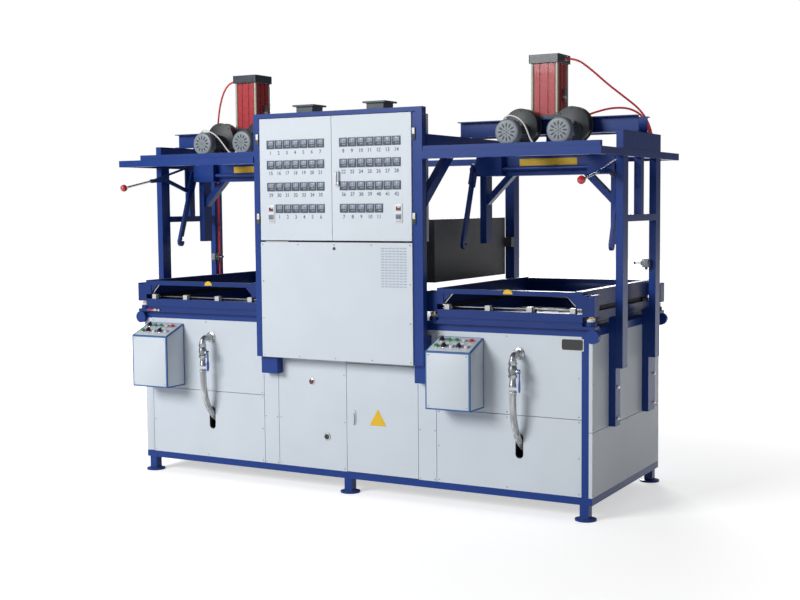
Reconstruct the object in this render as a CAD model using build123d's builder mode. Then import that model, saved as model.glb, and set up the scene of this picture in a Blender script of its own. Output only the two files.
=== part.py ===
"""Two-station vacuum forming machine, in millimetres.

X runs to the right along the machine, Y to the back and Z up. The origin is on the floor, under
the middle of the front foot in the centre. Each station has its own bed, clamp frames, press and
control box, and the heating oven stands between them, behind a tall console.
"""

import math
import os

from build123d import *

os.makedirs("parts", exist_ok=True)

# The base
LENGTH = 3000
DEPTH = 1118
LEG = 50
FRONT = -LEG / 2
BACK = FRONT + DEPTH
TUBE = 40
BASE_BOTTOM = 84
BASE_TOP = 1014
FOOT_R = 58
FOOT_T = 9
FOOT_CONE = 7
FOOT_NECK = 32
SHEET = 2
FOLD = 20
GAP = 3
FRONT_SEAM = 535
SIDE_SEAM = 471
INNER_POST = 550
CENTRE_HALF = 582
STRIP_IN = 477
DOOR_MIDDLE = 232
DOOR_W = 468
DOOR_TOP = 760
HUB_R = 36
HUB_OUT = 8
HANDLE_IN = 46
HANDLE_Z = 448
HANDLE_PLATE = (88, 30)
HANDLE_PLATE_T = 5
HANDLE_GRIP = (64, 16)
HANDLE_GRIP_T = 8
HANDLE_DROP = 8

# The stations stand this far from the middle, and their cylinders a little ahead of mid depth
STATION = 1031
STATIONS = {"left": -STATION, "right": STATION}
SIDES = {"left": -1, "right": 1}
AXIS_Y = FRONT + 556

# The clamp frames
CLAMP_HALF = 425
CLAMP_OVERHANG = 30
CLAMP_W = 40
CURB_H = 22
CURB_GAP = 14
GROOVE = 6
BED_GAP = 10
BED_T = 20
BED_SLOT = 12
BED_SLOT_DEEP = 8
BED_SLOT_PITCH = 120
LOWER_H = 45
PAD_H = 28
PAD_W = 30
PAD_OFFS = (-367, -122, 122, 367)
LIFT_GAP = 1
UPPER_H = 88
UPPER_TUBE = 26
UPPER_SET = 4
CORNER_PLATE = 45
CORNER_PLATE_T = 6
ROD_R = 15
SLEEVE_W = 65
SLEEVE_D = 74
SLEEVE_H = 113
SLEEVE_DROP = 43
NOTCH = 16
EAR_T = 16
COLLAR_R = 30
COLLAR_H = 22
RUN = 0.1

# The gantries
POST_OUT = 1579
POST_W = 40
POST_D = 80
POST_FRONT = FRONT + 240
POST_REAR = FRONT + 798
POST_BOTTOM = 787
BRACKET_BOTTOM = 470
BRACKET_TOP = 1060
BRACKET_SET = 5
BRACKET_FRONT_D = 75
BRACKET_REAR_D = 122
CROSS_TUBE_Z = 1570
CROSS_TUBE_H = 37
GUIDE_D = 50
RAIL_MARGIN = 5
RAIL_OUT = POST_OUT + RAIL_MARGIN
RAIL_FRONT = FRONT - 109
RAIL_REAR = FRONT + 1214
RAIL_BOTTOM = 1918
TRACK = 30
TRACK_SHORT = {"left": 164, "right": 9}
BEAM_H = 97
BRACE_LOW = (298, 225)
BRACE_HIGH = (270, 360)
CENTRE_POST_OUT = 543
CENTRE_POST_W = 60
CENTRE_POST_GAP = 35
CENTRE_POST_BOTTOM = 600
SPACER_UP = 20

# The cross channels, air cylinders and presses
CHANNEL_H = 90
CHANNEL_FLANGE = 45
CHANNEL_T = 6
CHANNEL_IN = 505
CHANNEL_MARGIN = 2
CHANNEL_OUT = POST_OUT + CHANNEL_MARGIN
CHANNEL_HALF = 117
CAP = 183
CAP_T = 48
CAP_CORNER = 8
BARREL = 152
BARREL_CORNER = 12
FLUTE = (6, 10)
FLUTE_PITCH = 50
BORE_R = 66
TIE_R = 8
TIE_OFF = 74
TIE_CLEAR = 4
SEAT_T = 20
CYLINDER_TOP = 2505
PISTON_R = 20
PISTON_CLEAR = 17
ROD_FLANGE = (55, 14)
ROD_NUT = (30, 30)
PRESS_HALF = 420
PRESS_LEG = 40
PRESS_D = 80
PRESS_BOTTOM = 1440
PRESS_BEAM = 1830
PRESS_TOP = 1950
KNEE = 140
KNEE_HALF = 25
KNEE_SET = 15
GUSSET = 160

# The hook shaft
SHAFT_Y = FRONT + 490
SHAFT_Z = 1871
SHAFT_R = 12
BEARING = 26
HOOK_OFF = 446
HOOK_T = 18
HOOK_TILT = 19.5
HOOK_LENGTH = 460
HOOK_ARM = 34
HOOK_PLATE = (100, 64)
HOOK_EYE = 32
HOOK_THROAT = 11
HOOK_LIP = 14
HOOK_MOUTH = (10, 8)
HOOK_MOUTH_CUT = (32, 28)
LEVER_OFF = 469
LEVER_T = 12
LEVER_BAR = 24
LEVER_CROSS = 32
LEVER_EYE = 28
LEVER_R = 6.5
BALL_R = 22

# The console
CONSOLE_OUT = 559
CONSOLE_FRONT = FRONT - 102
CONSOLE_BOTTOM = 784
CONSOLE_TOP = 2202
CONSOLE_TUBE = 26
CONSOLE_INSET = 3
CONSOLE_SHOE = 160
CONSOLE_LEG_D = 60
CONSOLE_LEG_BOTTOM = 680
FILLER = 25
FILLER_SET = 8
DOOR_SPLIT = -22
DOORS_BOTTOM = 1470
DOORS_MARGIN = 3
DOOR_T = 20
DOOR_HANDLE = (26, 82, 12)
DOOR_HANDLE_IN = 38
DOOR_HANDLE_Z = 1822
DOOR_HANDLE_CORNER = 8
HINGE_Z = (1595, 2057)
HINGE_H = 50
HINGE_W = 18
HINGE_T = 4
MODULE = 48
MODULE_LIP = 2
MODULE_DEEP = 40
BEZEL_T = 4
PITCH = 57
ROWS = (2023, 1906, 1779, 1653)
METER_W = 48
METER_H = 108
CABINET_HALF = 480
CABINET_BACK = FRONT + 120
COWL_X = 235
COWL_Y = FRONT + 5
COWL = 110
COWL_LID = 142
COWL_H = 62
COWL_LID_T = 10

# The oven
OVEN_HALF = 500
OVEN_FRONT = FRONT + 150
OVEN_REAR = FRONT + 1110
OVEN_BOTTOM = 1228
OVEN_TOP = 1585
OVEN_WALL = 25
OVEN_RECESS = 70
OVEN_ARM_W = 60
OVEN_ARM_IN = 60
OVEN_ARM = (20, 35)
OVEN_TIE = (185, 125)
ELEMENTS_X = 7
ELEMENTS_Y = 6
ELEMENTS_EDGE = 20
ELEMENT_W = 56
ELEMENT_T = 14
ELEMENT_L = 122
STEM = 20
STEM_L = 16

# What hangs on the front
BOX_W = 270
BOX_D = 170
BOX_OFF = -292
BOX_BOTTOM = 560
BOX_FRONT_TOP = 878
BOX_BACK_TOP = 944
BUTTON_BASE_R = 13
BUTTON_BASE_T = 5
BUTTON_R = 9
BUTTON_T = 9
KNOB = (9, 26)
TAP_OFF = 54
TAP_Y = FRONT - 85
TAP_Z = 870
PIPE_R = 21
PIPE_FLANGE = (33, 8)
NUT_R = 28
NUT_T = 22
VALVE_R = 25
VALVE_Z = (738, 828)
FITTING_Z = 682
STEM_Z = 783
STEM_R = 8
STEM_OUT = 15
TAP_LEVER = (18, 4)
TAP_LEVER_EYE = 13
TAP_LEVER_LONG = 8
HOSE_R = 19
SLOT_W = 46
SLOT = (300, 437)
AIR_X = -139
AIR_Z = 319
AIR_R = 16

# The blowers over each bed
BLOWER_OFFS = {"left": (-127, 175), "right": (-100, 204)}
SHELF_HALF = 20
BLOWER_Z = 2098
BLOWER_R = 103
BLOWER_W = 70
BLOWER_RIM = 5
BLOWER_NECK = 25
OUTLET_IN = 20
MOTOR_Z = 2062
MOTOR_R = 62
FIN = (12, 4)
FIN_SEAT = 2
FINS = 16
FINS_END = 25
FAN_COVER_R = 73
FAN_COVER_L = 55
FAN_COVER_RIM = 6
MOTOR_L = 190
MOTOR_FOOT_HALF = 50
MOTOR_FOOT_SEAT = 12
MOTOR_FOOT = (20, 45)
AIR_HOSE_R = 6

# The limit switches on the rear posts
SWITCH = (44, 44, 50)
SWITCH_BOTTOM = 1302
SWITCH_SET = 8
FEELER_R = 5
FEELER_L = 50

# Small round shapes that repeat are drawn with this many flats
SIDES_SMALL = 8
SIDES_LARGE = 16
BALL_STEPS = 9

UP = (Align.CENTER, Align.CENTER, Align.MIN)


def bar(x, y, z, mode=Mode.ADD):
    """A straight bar or plate. Each of x, y and z is a pair of ends, in either order."""
    with Locations(tuple(sum(ends) / 2 for ends in (x, y, z))):
        Box(*(abs(ends[1] - ends[0]) for ends in (x, y, z)), mode=mode)


def ring(x, y, z, width):
    """A flat ring of square tube round an open middle."""
    bar(x, y, z)
    bar(
        (min(x) + width, max(x) - width),
        (min(y) + width, max(y) - width),
        z,
        mode=Mode.SUBTRACT,
    )


def upright(x, y, z, radius, mode=Mode.ADD):
    """A round bar along Z."""
    with Locations((x, y, min(z))):
        Cylinder(radius, abs(z[1] - z[0]), align=UP, mode=mode)


def along_x(x, y, z, radius, mode=Mode.ADD):
    """A round bar along X."""
    with Locations(Plane((min(x), y, z), x_dir=(0, 1, 0), z_dir=(1, 0, 0))):
        Cylinder(radius, abs(x[1] - x[0]), align=UP, mode=mode)


def along_y(x, y, z, radius, mode=Mode.ADD):
    """A round bar along Y."""
    with Locations(Plane((x, min(y), z), x_dir=(1, 0, 0), z_dir=(0, 1, 0))):
        Cylinder(radius, abs(y[1] - y[0]), align=UP, mode=mode)


def flats_along_y(x, y, z, radius, sides):
    """A bar along Y with that many flats round it."""
    with BuildSketch(Plane.XZ.offset(-min(y))) as section:
        with Locations((x, z)):
            RegularPolygon(radius, sides)
    extrude(section.sketch, amount=min(y) - max(y))


def flats_along_z(x, y, z, radius, sides):
    """A bar along Z with that many flats round it."""
    with BuildSketch(Plane.XY.offset(min(z))) as section:
        with Locations((x, y)):
            RegularPolygon(radius, sides)
    extrude(section.sketch, amount=max(z) - min(z))


def tray(x, y, z, axis, end):
    """A sheet panel with folded edges, open on the face at that end of the axis."""
    with BuildPart() as folded:
        bar(x, y, z)
        offset(amount=-SHEET, openings=folded.faces().sort_by(axis)[end], mode=Mode.REPLACE)
    return folded.part


def tube_along(points, radius):
    """A hose: straight runs joined by arcs as large as the runs allow."""
    corners = []
    for before, at, after in zip(points, points[1:], points[2:]):
        into = Vector(*at) - Vector(*before)
        away = Vector(*after) - Vector(*at)
        half_turn = math.radians(into.get_angle(away)) / 2
        corners.append(0.45 * min(into.length, away.length) / math.tan(half_turn))
    with BuildPart() as hose:
        with BuildLine() as route:
            FilletPolyline(*points, radius=corners)
        start = route.line @ 0
        with BuildSketch(Plane(origin=start, z_dir=route.line % 0)) as section:
            RegularPolygon(radius, SIDES_SMALL)
        sweep()
    expected = section.sketch.area * route.wire().length
    print("radii", [round(r) for r in corners], "volume", round(hose.part.volume / expected, 3))
    return hose.part


def save(part, name):
    part.label = name
    export_step(part, f"parts/{name}.step")


PANEL_Z = (BASE_BOTTOM + TUBE, BASE_TOP - TUBE)
PANEL_Y = (FRONT, FRONT + FOLD)
CORNER_OUT = LENGTH / 2 - FOLD
CORNER_IN = CORNER_OUT - TUBE
DOOR_LEFT = DOOR_MIDDLE - DOOR_W / 2
DOOR_RIGHT = DOOR_MIDDLE + DOOR_W / 2


def base_frame():
    """Feet, legs, the bottom ring with two cross tubes, and the posts."""
    rail = (BASE_BOTTOM, BASE_BOTTOM + TUBE)
    with BuildPart() as frame:
        ring((-LENGTH / 2, LENGTH / 2), (FRONT, BACK), rail, TUBE)
        for x in (-INNER_POST, INNER_POST):
            bar((x - TUBE / 2, x + TUBE / 2), (FRONT + TUBE, BACK - TUBE), rail)
        for x in (LEG / 2 + TUBE / 2 - LENGTH / 2, 0, LENGTH / 2 - LEG / 2 - TUBE / 2):
            for y in (FRONT + LEG / 2, BACK - LEG / 2):
                upright(x, y, (0, FOOT_T), FOOT_R)
                with Locations((x, y, FOOT_T)):
                    Cone(FOOT_R, FOOT_NECK, FOOT_CONE, align=UP)
                bar(
                    (x - LEG / 2, x + LEG / 2),
                    (y - LEG / 2, y + LEG / 2),
                    (FOOT_T + FOOT_CONE, BASE_BOTTOM),
                )
        for side in SIDES.values():
            for y in (FRONT, BACK - TUBE):
                bar((side * CORNER_OUT, side * CORNER_IN), (y, y + TUBE), PANEL_Z)
            inner = side * INNER_POST
            for y in (FRONT + FOLD, BACK - FOLD - TUBE):
                bar((inner - TUBE / 2, inner + TUBE / 2), (y, y + TUBE), PANEL_Z)
    return frame.part


def top_frame():
    """The top ring, with the round ends of the lifting shafts at its outer corners."""
    rail = (BASE_TOP - TUBE, BASE_TOP)
    hub_z = BASE_TOP - HUB_R + HUB_OUT
    with BuildPart() as frame:
        ring((-LENGTH / 2, LENGTH / 2), (FRONT, BACK), rail, TUBE)
        for x in (-INNER_POST, INNER_POST):
            bar((x - TUBE / 2, x + TUBE / 2), (FRONT + TUBE, BACK - TUBE), rail)
        for side in SIDES.values():
            for y in ((FRONT - CLAMP_OVERHANG, FRONT), (BACK, BACK + CLAMP_OVERHANG)):
                along_y(side * (LENGTH / 2 + HUB_OUT), y, hub_z - HUB_OUT, HUB_R)
    return frame.part


def front_panels(station):
    """Two folded sheets, one above the other. The lower one has the slot for the drain hose."""
    side = math.copysign(1, station)
    x = (side * (CENTRE_HALF + GAP), side * CORNER_IN)
    with BuildPart() as panels:
        add(tray(x, PANEL_Y, (FRONT_SEAM + GAP / 2, PANEL_Z[1]), Axis.Y, -1))
        add(tray(x, PANEL_Y, (PANEL_Z[0], FRONT_SEAM - GAP / 2), Axis.Y, -1))
        with BuildSketch(Plane.XZ.offset(-FRONT)):
            with Locations((station + TAP_OFF, sum(SLOT) / 2)):
                SlotOverall(SLOT[1] - SLOT[0], SLOT_W, rotation=90)
        extrude(amount=-FOLD, mode=Mode.SUBTRACT)
    return panels.part


def centre_panels():
    """The sheets round the electrical door. The air inlet goes through the widest."""
    with BuildPart() as panels:
        for x, z in (
            ((-CENTRE_HALF, -STRIP_IN - GAP), PANEL_Z),
            ((-STRIP_IN, DOOR_LEFT - GAP), PANEL_Z),
            ((DOOR_LEFT, DOOR_RIGHT), (DOOR_TOP + GAP, PANEL_Z[1])),
            ((DOOR_RIGHT + GAP, CENTRE_HALF), PANEL_Z),
        ):
            add(tray(x, PANEL_Y, z, Axis.Y, -1))
        along_y(AIR_X, (FRONT, FRONT + FOLD), AIR_Z, AIR_R, mode=Mode.SUBTRACT)
    return panels.part


def rear_panels():
    """Three plain folded sheets across the back."""
    y = (BACK - FOLD, BACK)
    with BuildPart() as panels:
        add(tray((-CENTRE_HALF, CENTRE_HALF), y, PANEL_Z, Axis.Y, 0))
        for side in SIDES.values():
            x = (side * (CENTRE_HALF + GAP), side * CORNER_IN)
            add(tray(x, y, PANEL_Z, Axis.Y, 0))
    return panels.part


def side_panels(side):
    """Two folded sheets that wrap round the corner posts."""
    x = (side * LENGTH / 2, side * CORNER_OUT)
    inward = 0 if side > 0 else -1
    with BuildPart() as panels:
        add(tray(x, (FRONT, BACK), (SIDE_SEAM + GAP / 2, PANEL_Z[1]), Axis.X, inward))
        add(tray(x, (FRONT, BACK), (PANEL_Z[0], SIDE_SEAM - GAP / 2), Axis.X, inward))
    return panels.part


def electrical_door():
    """A folded door with a swing handle near its free edge."""
    z = (PANEL_Z[0] + GAP, DOOR_TOP)
    handle_x = DOOR_LEFT + HANDLE_IN
    with BuildPart() as door:
        add(tray((DOOR_LEFT, DOOR_RIGHT), PANEL_Y, z, Axis.Y, -1))
        with BuildSketch(Plane.XZ.offset(-FRONT)):
            with Locations((handle_x, HANDLE_Z)):
                SlotOverall(*HANDLE_PLATE, rotation=90)
        extrude(amount=HANDLE_PLATE_T)
        with BuildSketch(Plane.XZ.offset(-FRONT + HANDLE_PLATE_T)):
            with Locations((handle_x, HANDLE_Z - HANDLE_DROP)):
                SlotOverall(*HANDLE_GRIP, rotation=90)
        extrude(amount=HANDLE_GRIP_T)
    return door.part


def centre_deck():
    """The sheet that closes the base under the oven."""
    half = INNER_POST - TUBE / 2
    with BuildPart() as deck:
        bar((-half, half), (FRONT, BACK), (BASE_TOP, BASE_TOP + SHEET))
    return deck.part


CLAMP_Y = (FRONT - CLAMP_OVERHANG, BACK + CLAMP_OVERHANG)
CURB_TOP = BASE_TOP + CURB_H
LOWER_BOTTOM = CURB_TOP + CURB_GAP
LOWER_TOP = LOWER_BOTTOM + LOWER_H
UPPER_BOTTOM = LOWER_TOP + PAD_H + LIFT_GAP
UPPER_TOP = UPPER_BOTTOM + UPPER_H
SLEEVE_BOTTOM = UPPER_BOTTOM - SLEEVE_DROP
SLEEVE_TOP = SLEEVE_BOTTOM + SLEEVE_H
ROD_OFF = CLAMP_HALF + SLEEVE_W / 2
ROD_YS = (CLAMP_Y[0] + SLEEVE_D / 2, CLAMP_Y[1] - SLEEVE_D / 2)


def bed(station):
    """The forming table inside the lower clamp frame, with slots that hold the mould."""
    edge = CLAMP_W + BED_GAP
    x = (station - CLAMP_HALF + edge, station + CLAMP_HALF - edge)
    y = (CLAMP_Y[0] + edge, CLAMP_Y[1] - edge)
    top = BASE_TOP + BED_T
    with BuildPart() as table:
        bar(x, y, (BASE_TOP, top))
        for step in range(-2, 3):
            slot = station + step * BED_SLOT_PITCH
            bar(
                (slot - BED_SLOT / 2, slot + BED_SLOT / 2),
                y,
                (top - BED_SLOT_DEEP, top),
                mode=Mode.SUBTRACT,
            )
    return table.part


def lower_clamp(station):
    """A curb and a heavier ring on it, with clamping pads, ears, collars and guide rods."""
    outer = (station - CLAMP_HALF, station + CLAMP_HALF)
    inner = (outer[0] + GROOVE, outer[1] - GROOVE)
    groove_y = (CLAMP_Y[0] + GROOVE, CLAMP_Y[1] - GROOVE)
    with BuildPart() as frame:
        ring(outer, CLAMP_Y, (BASE_TOP, CURB_TOP), CLAMP_W)
        ring(inner, groove_y, (CURB_TOP, LOWER_BOTTOM), CLAMP_W - GROOVE)
        ring(outer, CLAMP_Y, (LOWER_BOTTOM, LOWER_TOP), CLAMP_W)
        for y in (CLAMP_Y[0] + CLAMP_W / 2, CLAMP_Y[1] - CLAMP_W / 2):
            for off in PAD_OFFS:
                x = station + off
                bar(
                    (x - PAD_W / 2, x + PAD_W / 2),
                    (y - PAD_W / 2, y + PAD_W / 2),
                    (LOWER_TOP, LOWER_TOP + PAD_H),
                )
        for side in SIDES.values():
            ear = (station + side * CLAMP_HALF, station + side * (CLAMP_HALF + SLEEVE_W))
            x = station + side * ROD_OFF
            for y in ROD_YS:
                bar(ear, (y - SLEEVE_D / 2, y + SLEEVE_D / 2), (BASE_TOP, BASE_TOP + EAR_T))
                collar = (BASE_TOP + EAR_T, BASE_TOP + EAR_T + COLLAR_H)
                flats_along_z(x, y, collar, COLLAR_R, SIDES_LARGE)
                upright(x, y, (BASE_TOP + EAR_T + COLLAR_H, SLEEVE_TOP - NOTCH), ROD_R)
    return frame.part


def upper_clamp(station):
    """The lifting frame: deep side plates, tubes across, and a notched sleeve at each corner."""
    with BuildPart() as frame:
        for side in SIDES.values():
            inside = station + side * (CLAMP_HALF - CLAMP_W)
            outside = station + side * CLAMP_HALF
            bar((inside, outside), CLAMP_Y, (UPPER_BOTTOM, UPPER_TOP))
            for y in ROD_YS:
                block_x = (outside, station + side * (CLAMP_HALF + SLEEVE_W))
                block_y = (y - SLEEVE_D / 2, y + SLEEVE_D / 2)
                x = station + side * ROD_OFF
                bar(block_x, block_y, (SLEEVE_BOTTOM, SLEEVE_TOP))
                bar(
                    (x - NOTCH / 2, x + NOTCH / 2),
                    block_y,
                    (SLEEVE_TOP - NOTCH / 2, SLEEVE_TOP),
                    mode=Mode.SUBTRACT,
                )
                bar(
                    block_x,
                    (y - NOTCH / 2, y + NOTCH / 2),
                    (SLEEVE_TOP - NOTCH / 2, SLEEVE_TOP),
                    mode=Mode.SUBTRACT,
                )
                upright(x, y, (SLEEVE_BOTTOM, SLEEVE_TOP), ROD_R + RUN, mode=Mode.SUBTRACT)
        half = CLAMP_HALF - CLAMP_W
        tube_z = (UPPER_TOP - UPPER_TUBE - UPPER_SET, UPPER_TOP - UPPER_SET)
        for y in (CLAMP_Y[0], CLAMP_Y[1] - CLAMP_W):
            bar((station - half, station + half), (y, y + CLAMP_W), tube_z)
            with BuildSketch(Plane.XZ.offset(-y - UPPER_SET)):
                for side in SIDES.values():
                    corner_x = station + side * half
                    with BuildLine():
                        Polyline(
                            (corner_x, tube_z[0]),
                            (corner_x - side * CORNER_PLATE, tube_z[0]),
                            (corner_x, tube_z[0] - CORNER_PLATE),
                            close=True,
                        )
                    make_face()
            extrude(amount=-CORNER_PLATE_T)
    return frame.part


RAIL_TOP = RAIL_BOTTOM + TUBE
BEAM_TOP = RAIL_TOP + BEAM_H
CHANNEL_TOP = BEAM_TOP + CHANNEL_H
BRACKET_YS = (
    (POST_FRONT + BRACKET_SET, POST_FRONT + BRACKET_SET + BRACKET_FRONT_D),
    (POST_REAR + BRACKET_SET, POST_REAR + BRACKET_SET + BRACKET_REAR_D),
)


def gantry_posts(side):
    """Two posts with their brackets on the base, the tube between them and the guide above it."""
    x = (side * (POST_OUT - POST_W), side * POST_OUT)
    with BuildPart() as posts:
        for y in (POST_FRONT, POST_REAR):
            bar(x, (y, y + POST_D), (POST_BOTTOM, RAIL_BOTTOM))
        cross_top = CROSS_TUBE_Z + CROSS_TUBE_H
        bar(x, (POST_FRONT + POST_D, POST_REAR), (CROSS_TUBE_Z, cross_top))
        bar(x, (AXIS_Y - GUIDE_D / 2, AXIS_Y + GUIDE_D / 2), (cross_top, RAIL_BOTTOM))
        for y in BRACKET_YS:
            bar(
                (side * LENGTH / 2, side * (POST_OUT - POST_W)),
                y,
                (BRACKET_BOTTOM, BRACKET_TOP),
            )
    return posts.part


def side_beams():
    """The deep beams along Y: outer ones on the rail frame, inner ones with a knee brace."""
    inner_y = (CONSOLE_FRONT + 2 * CONSOLE_TUBE, BACK + CENTRE_POST_GAP + POST_D)
    with BuildPart() as beams:
        for side in SIDES.values():
            bar(
                (side * (POST_OUT - POST_W), side * POST_OUT),
                (POST_FRONT, POST_REAR + POST_D),
                (RAIL_TOP, BEAM_TOP),
            )
            inner_x = (side * (CONSOLE_OUT - POST_W), side * CONSOLE_OUT)
            bar(inner_x, inner_y, (RAIL_TOP, BEAM_TOP))
            with BuildSketch(Plane.YZ.offset(min(inner_x))):
                with BuildLine():
                    Polyline(
                        (inner_y[0], RAIL_TOP - BRACE_LOW[0]),
                        (inner_y[0], RAIL_TOP - BRACE_LOW[1]),
                        (inner_y[0] + BRACE_HIGH[0], RAIL_TOP),
                        (inner_y[0] + BRACE_HIGH[1], RAIL_TOP),
                        close=True,
                    )
                make_face()
            extrude(amount=POST_W)
    return beams.part


def centre_rear_posts():
    """The two posts behind the oven, held off the base by short spacers."""
    y = BACK + CENTRE_POST_GAP
    with BuildPart() as posts:
        for side in SIDES.values():
            x = (side * (CENTRE_POST_OUT - CENTRE_POST_W), side * CENTRE_POST_OUT)
            bar(x, (y, y + POST_D), (CENTRE_POST_BOTTOM, RAIL_BOTTOM))
            for z in (CENTRE_POST_BOTTOM + SPACER_UP, BASE_TOP - TUBE):
                bar(x, (BACK, y), (z, z + TUBE))
    return posts.part


def rail_frame():
    """The rails round the top, the track on the front rail and the bars under the motors."""
    rail = (RAIL_BOTTOM, RAIL_TOP)
    track_top = RAIL_TOP + TRACK
    with BuildPart() as frame:
        for name, side in SIDES.items():
            bar((side * CONSOLE_OUT, side * RAIL_OUT), (RAIL_FRONT, RAIL_FRONT + TUBE), rail)
            bar((side * (RAIL_OUT - TUBE), side * RAIL_OUT), (RAIL_FRONT, RAIL_REAR), rail)
            bar(
                (side * CONSOLE_OUT, side * (RAIL_OUT - TRACK_SHORT[name])),
                (RAIL_FRONT + TUBE - TRACK, RAIL_FRONT + TUBE),
                (RAIL_TOP, track_top),
            )
            for off in BLOWER_OFFS[name]:
                shelf = (
                    STATIONS[name] + off - SHELF_HALF,
                    STATIONS[name] + off + SHELF_HALF,
                )
                riser_y = AXIS_Y - CHANNEL_HALF + CHANNEL_FLANGE
                bar(shelf, (RAIL_FRONT + TUBE, riser_y), (RAIL_TOP, track_top))
                bar(shelf, (riser_y - TUBE, riser_y), (track_top, BEAM_TOP))
        bar((-RAIL_OUT, RAIL_OUT), (RAIL_REAR - TUBE, RAIL_REAR), rail)
    return frame.part


def cross_channels(side):
    """Two channels back to back across the station, their flanges turned outwards."""
    with BuildPart() as channels:
        for face in (-1, 1):
            y_out = AXIS_Y + face * CHANNEL_HALF
            y_web = y_out - face * CHANNEL_FLANGE
            x = (side * CHANNEL_IN, side * CHANNEL_OUT)
            bar(x, (y_web, y_out), (BEAM_TOP, CHANNEL_TOP))
            bar(
                x,
                (y_web + face * CHANNEL_T, y_out),
                (BEAM_TOP + CHANNEL_T, CHANNEL_TOP - CHANNEL_T),
                mode=Mode.SUBTRACT,
            )
    return channels.part


SEAT_TOP = CHANNEL_TOP + SEAT_T


def cylinder(station):
    """A square fluted barrel with tie rods between a seat plate and an end cap."""
    seat = CHANNEL_HALF
    with BuildPart() as body:
        bar(
            (station - seat, station + seat),
            (AXIS_Y - seat, AXIS_Y + seat),
            (CHANNEL_TOP, SEAT_TOP),
        )
        with BuildSketch(Plane.XY.offset(SEAT_TOP)):
            with Locations((station, AXIS_Y)):
                RectangleRounded(BARREL, BARREL, BARREL_CORNER)
                with GridLocations(2 * TIE_OFF, 2 * TIE_OFF, 2, 2):
                    RegularPolygon(TIE_R + TIE_CLEAR, SIDES_SMALL, mode=Mode.SUBTRACT)
                with PolarLocations(BARREL / 2, 4):
                    with GridLocations(1, FLUTE_PITCH, 1, 2):
                        Rectangle(*FLUTE, mode=Mode.SUBTRACT)
        extrude(amount=CYLINDER_TOP - CAP_T - SEAT_TOP)
        with BuildSketch(Plane.XY.offset(SEAT_TOP)):
            with Locations((station, AXIS_Y)):
                with GridLocations(2 * TIE_OFF, 2 * TIE_OFF, 2, 2):
                    RegularPolygon(TIE_R, SIDES_SMALL)
        extrude(amount=CYLINDER_TOP - CAP_T - SEAT_TOP)
        with BuildSketch(Plane.XY.offset(CYLINDER_TOP - CAP_T)):
            with Locations((station, AXIS_Y)):
                RectangleRounded(CAP, CAP, CAP_CORNER)
        extrude(amount=CAP_T)
        upright(
            station,
            AXIS_Y,
            (SEAT_TOP, CYLINDER_TOP - CAP_T),
            BORE_R,
            mode=Mode.SUBTRACT,
        )
        upright(station, AXIS_Y, (CHANNEL_TOP, SEAT_TOP), PISTON_R + RUN, mode=Mode.SUBTRACT)
    return body.part


def press_frame(station):
    """The portal on the piston rod: beam, legs, knee braces, corner plates and shaft bearings."""
    front = AXIS_Y - PRESS_D / 2
    leg_in = PRESS_HALF - PRESS_LEG
    with BuildPart() as press:
        with BuildSketch(Plane.XZ.offset(-front)):
            with Locations((station, (PRESS_BEAM + PRESS_TOP) / 2)):
                Rectangle(2 * PRESS_HALF, PRESS_TOP - PRESS_BEAM)
            for side in SIDES.values():
                middle = station + side * (PRESS_HALF - PRESS_LEG / 2)
                with Locations((middle, (PRESS_BOTTOM + PRESS_BEAM) / 2)):
                    Rectangle(PRESS_LEG, PRESS_BEAM - PRESS_BOTTOM)
        extrude(amount=-PRESS_D)
        with BuildSketch(Plane.XZ.offset(-front - KNEE_SET)):
            for side in SIDES.values():
                x = station + side * leg_in
                with BuildLine():
                    Polyline(
                        (x, PRESS_BEAM - KNEE - KNEE_HALF),
                        (x - side * (KNEE + KNEE_HALF), PRESS_BEAM),
                        (x - side * (KNEE - KNEE_HALF), PRESS_BEAM),
                        (x, PRESS_BEAM - KNEE + KNEE_HALF),
                        close=True,
                    )
                make_face()
        extrude(amount=-PRESS_D + 2 * KNEE_SET)
        for side in SIDES.values():
            plate = (station + side * PRESS_HALF, station + side * (PRESS_HALF - GUSSET))
            bar(plate, (SHAFT_Y - BEARING, front), (PRESS_BEAM, PRESS_TOP))
        shaft_x = (station - PRESS_HALF, station + PRESS_HALF)
        along_x(shaft_x, SHAFT_Y, SHAFT_Z, SHAFT_R + RUN, mode=Mode.SUBTRACT)
        flange_top = PRESS_TOP + ROD_FLANGE[1]
        nut_top = flange_top + ROD_NUT[1]
        upright(station, AXIS_Y, (PRESS_TOP, flange_top), ROD_FLANGE[0])
        upright(station, AXIS_Y, (flange_top, nut_top), ROD_NUT[0])
        upright(station, AXIS_Y, (nut_top, CYLINDER_TOP - CAP_T - PISTON_CLEAR), PISTON_R)
    return press.part


LEVER_BALL = (FRONT - 165, 1787)
LEVER_FORK = (FRONT + 96, 1834)
LEVER_ELBOW = (FRONT + 234, 1843)
LEVER_LOW = (FRONT + 452, 1772)
LEVER_HIGH = (FRONT + 452, 1925)


def strip(start, end, width):
    """A flat strip between two points of the open sketch."""
    turn = math.degrees(math.atan2(end[1] - start[1], end[0] - start[0]))
    length = math.dist(start, end)
    with Locations(((start[0] + end[0]) / 2, (start[1] + end[1]) / 2)):
        Rectangle(length, width, rotation=turn)


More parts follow.
